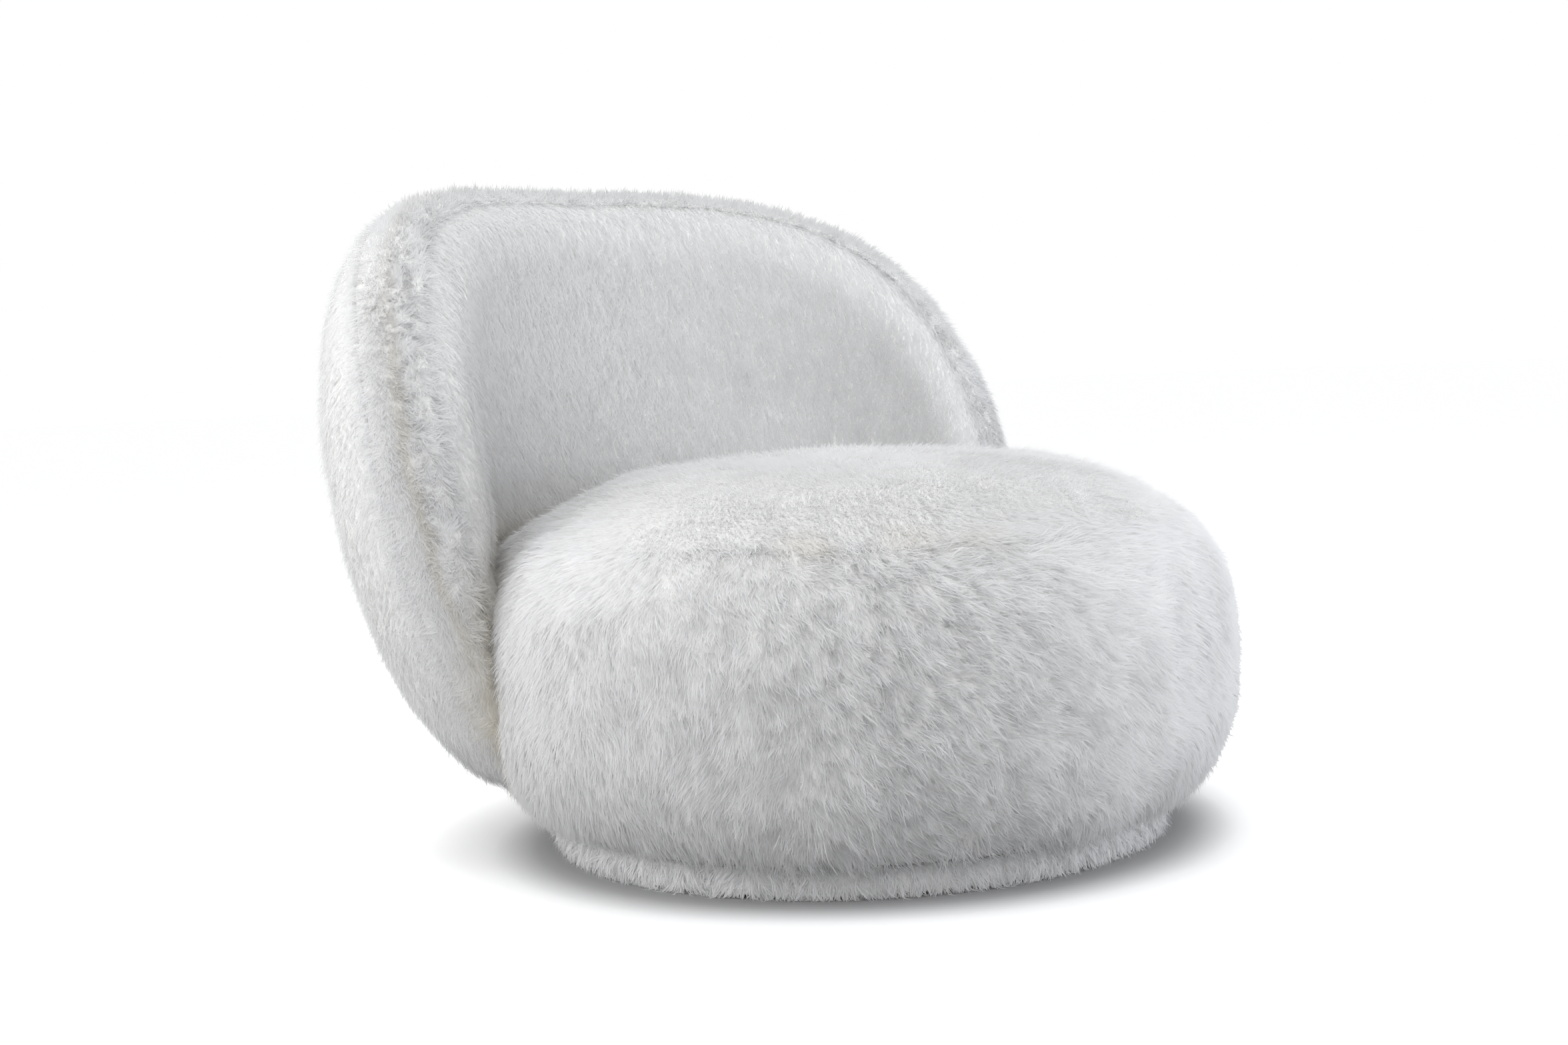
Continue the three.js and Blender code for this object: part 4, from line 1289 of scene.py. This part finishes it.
def add_foam(node, material, seed):
    """A cut foam block in the place of its CAD node, rounded and slightly crushed."""
    name = node + "_block"
    piece = add_piece(name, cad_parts[node].data.copy(), material)
    remesh = piece.modifiers.new("cut", "REMESH")
    remesh.mode = "VOXEL"
    remesh.voxel_size = 0.010
    remesh.use_smooth_shade = True
    piece.modifiers.new("crush", "SMOOTH").iterations = 3
    piece.data = settled(piece)
    piece.modifiers.clear()
    spots = coordinates(piece.data)
    dent = 0.0008 * (ripples(spots, 0.06, seed) - 2.0)
    set_coordinates(piece.data, spots + point_normals(piece.data) * dent[:, None])
    if node.startswith("back"):
        tuck_back(piece)
    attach(piece, "upper_body")
    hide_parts(node)


def add_foams(material):
    nodes = ["seat_foam_core", "seat_foam_topper", "seat_side_foam", "back_foam_inner", "back_foam_outer"]
    for seed, node in enumerate(nodes):
        add_foam(node, material, FIRST_FOAM_SEED + seed)


def ring_sheet(name, node, inner, outer, material, body):
    """A stretched cloth ring in the place of its CAD node, with a slight sag between its edges."""
    low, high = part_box(node)
    thickness = high.z - low.z
    angle = np.linspace(0, 2 * math.pi, 120, endpoint=False)
    rows = []
    for share in np.linspace(0, 1, 24):
        r = inner + (outer - inner) * share
        sag = 0.0004 * math.sin(math.pi * share) * (1 + 0.4 * np.sin(9 * angle))
        z = high.z - thickness * 0.3 - sag
        ring = np.stack([r * np.cos(angle), r * np.sin(angle), 0 * angle + z], axis=-1)
        rows.append(AXIS + ring)
    piece = add_piece(name, sheet_mesh(name, np.array(rows), True), material)
    edge = piece.modifiers.new("cloth", "SOLIDIFY")
    edge.thickness = thickness * 0.3
    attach(piece, body)
    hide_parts(node)


def add_dust_cloths(material):
    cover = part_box("plinth_dust_cover")[1].x
    ring_sheet("plinth_dust_sheet", "plinth_dust_cover", 0.0, cover, material, "plinth")
    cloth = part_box("seat_dust_cloth")[1].x
    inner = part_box("swivel_upper_plate")[1].x + 0.010
    ring_sheet("seat_dust_sheet", "seat_dust_cloth", inner, cloth, material, "upper_body")


def add_strap(node, material):
    """A woven strap in the place of its CAD node, with rolled selvedges."""
    low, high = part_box(node)
    middle = (low + high) / 2
    half = (high - low) / 2
    mesh = bpy.data.meshes.new(node + "_strap")
    shape = bmesh.new()
    bmesh.ops.create_cube(shape, size=2.0)
    bmesh.ops.scale(shape, vec=half, verts=shape.verts)
    bmesh.ops.translate(shape, vec=middle, verts=shape.verts)
    bmesh.ops.bevel(shape, geom=shape.edges, offset=half.z * 0.8, segments=3, affect="EDGES")
    shape.to_mesh(mesh)
    shape.free()
    mesh.shade_smooth()
    piece = add_piece(node + "_strap", mesh, material)
    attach(piece, "upper_body")
    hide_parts(node)


def add_straps(material):
    for node in sorted(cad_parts):
        if node.startswith("webbing_"):
            add_strap(node, material)


# Stage, light and camera


def clear_by(f, start, end):
    """How far a point of the floor lies clear of the plinth, from 0 at the start distance to 1 at the end."""
    sockets = {0: f.place(), 1: tuple(AXIS)}
    from_axis = f.node("ShaderNodeVectorMath", {"operation": "DISTANCE"}, sockets, output="Value")
    clear = (from_axis - (PLINTH_RADIUS + start)) * (1 / (end - start))
    return clear.maths("MAXIMUM", 0.0).maths("MINIMUM", 1.0)


def floor_finish():
    """White where it is seen, with a painted contact shadow in its seen colour and glow close to the plinth.
    Soft light finds it a plain grey.
    """
    f = Finish("studio_floor", roughness=0.9, shine=0.1)
    seen = f.seen_plainly()
    cloudy = f.mix(f.noise(3.0), (0.42, 0.42, 0.42), (0.44, 0.44, 0.44))
    # Painted contact shadow: the seen colour darkens toward the plinth
    painted_shadow = f.mix(clear_by(f, *FLOOR_PAINTED_SHADOW_CLEARS), (0.42, 0.42, 0.425), (0.90, 0.90, 0.90))
    f.colour(f.mix(seen, cloudy, painted_shadow))
    # The glow fades out near the plinth, which deepens the painted contact shadow
    glow = f.mix(seen * clear_by(f, *FLOOR_GLOW_SHADOW_CLEARS), (0.0, 0.0, 0.0), (1.0, 1.0, 1.0))
    f.feed(f.shader.inputs["Emission Color"], glow)
    f.feed(f.shader.inputs["Emission Strength"], FLOOR_GLOW)
    return f.material


def add_floor():
    """A plain white floor that keeps the chair's shadow, with a painted contact shadow round the plinth."""
    mesh = bpy.data.meshes.new("floor")
    shape = bmesh.new()
    bmesh.ops.create_grid(shape, x_segments=1, y_segments=1, size=FLOOR_SIZE)
    shape.to_mesh(mesh)
    shape.free()
    floor = bpy.data.objects.new("floor", mesh)
    bpy.context.scene.collection.objects.link(floor)
    mesh.materials.append(floor_finish())


def add_world():
    """An even pale surround that the camera sees as white."""
    world = bpy.data.worlds.new("studio")
    bpy.context.scene.world = world
    nodes = Nodes(world)
    light = nodes.node("ShaderNodeBackground", {}, {"Color": WORLD_TINT, "Strength": WORLD_LIGHT})
    white = nodes.node("ShaderNodeBackground", {}, {"Color": (1.0, 1.0, 1.0), "Strength": 1.0})
    both = nodes.node("ShaderNodeMixShader", {}, {0: nodes.seen_plainly(), 1: light, 2: white})
    nodes.node("ShaderNodeOutputWorld", {}, {"Surface": both})


def add_lamp(name, spot, target, size, power_w, tint):
    """A large soft square lamp that faces a target."""
    data = bpy.data.lights.new(name, "AREA")
    data.shape = "SQUARE"
    data.size = size
    data.energy = power_w
    data.color = tint
    lamp = bpy.data.objects.new(name, data)
    bpy.context.scene.collection.objects.link(lamp)
    lamp.location = spot
    lamp.rotation_euler = (Vector(target) - Vector(spot)).to_track_quat("-Z", "Y").to_euler()


def around(turn_degrees, distance, height):
    """A place round the chair. Turn 0 is in front, and 90 on its right as one looks at it."""
    turn = math.radians(turn_degrees)
    return (distance * math.sin(turn), AXIS[1] - distance * math.cos(turn), height)


def add_lamps():
    middle = (0.0, AXIS[1], LAMP_TARGET_HEIGHT)
    for name, (turn, distance, height, size, power_w, tint) in LAMPS.items():
        add_lamp(name, around(turn, distance, height), middle, size, power_w, tint)


def add_camera():
    """The photograph's own view, with a camera fitted to the chair's outlines."""
    data = bpy.data.cameras.new("camera")
    data.sensor_width = SENSOR_MM
    data.lens = CAMERA_LENS_MM
    camera = bpy.data.objects.new("camera", data)
    bpy.context.scene.collection.objects.link(camera)
    ahead = Vector((-math.sin(CAMERA_TURN), math.cos(CAMERA_TURN), 0.0))
    ahead = Matrix.Rotation(CAMERA_YAW, 3, "Z") @ ahead
    look = ahead * math.cos(CAMERA_PITCH) - Vector(UP) * math.sin(CAMERA_PITCH)
    level = look.cross(Vector(UP)).normalized()
    rise = level.cross(look)
    right = level * math.cos(CAMERA_ROLL) + rise * math.sin(CAMERA_ROLL)
    top = rise * math.cos(CAMERA_ROLL) - level * math.sin(CAMERA_ROLL)
    turn = Matrix((right, top, -look)).transposed()
    camera.matrix_world = Matrix.Translation(camera_spot()) @ turn.to_4x4()
    bpy.context.scene.camera = camera


def camera_spot():
    x = math.sin(CAMERA_TURN) * CAMERA_DISTANCE
    y = -math.cos(CAMERA_TURN) * CAMERA_DISTANCE
    return Vector((AXIS[0] + x, AXIS[1] + y, CAMERA_HEIGHT))


bpy.context.scene.view_settings.view_transform = "Standard"
add_camera()
add_world()
add_lamps()
add_floor()
finishes = dress_frame_nodes()
underwool = hide_finish()
hides = {
    "seat_top": seat_top_hide(underwool),
    "seat_side": seat_side_hide(underwool),
    "back_inner": back_inner_hide(underwool),
    "back_outer": back_outer_hide(underwool),
    "back_edge": back_edge_hide(underwool),
    "plinth": plinth_hide(underwool),
}
grow_pile(hides, pile_finish())
add_foams(finishes["foam"])
add_dust_cloths(finishes["black_cloth"])
add_straps(finishes["webbing"])
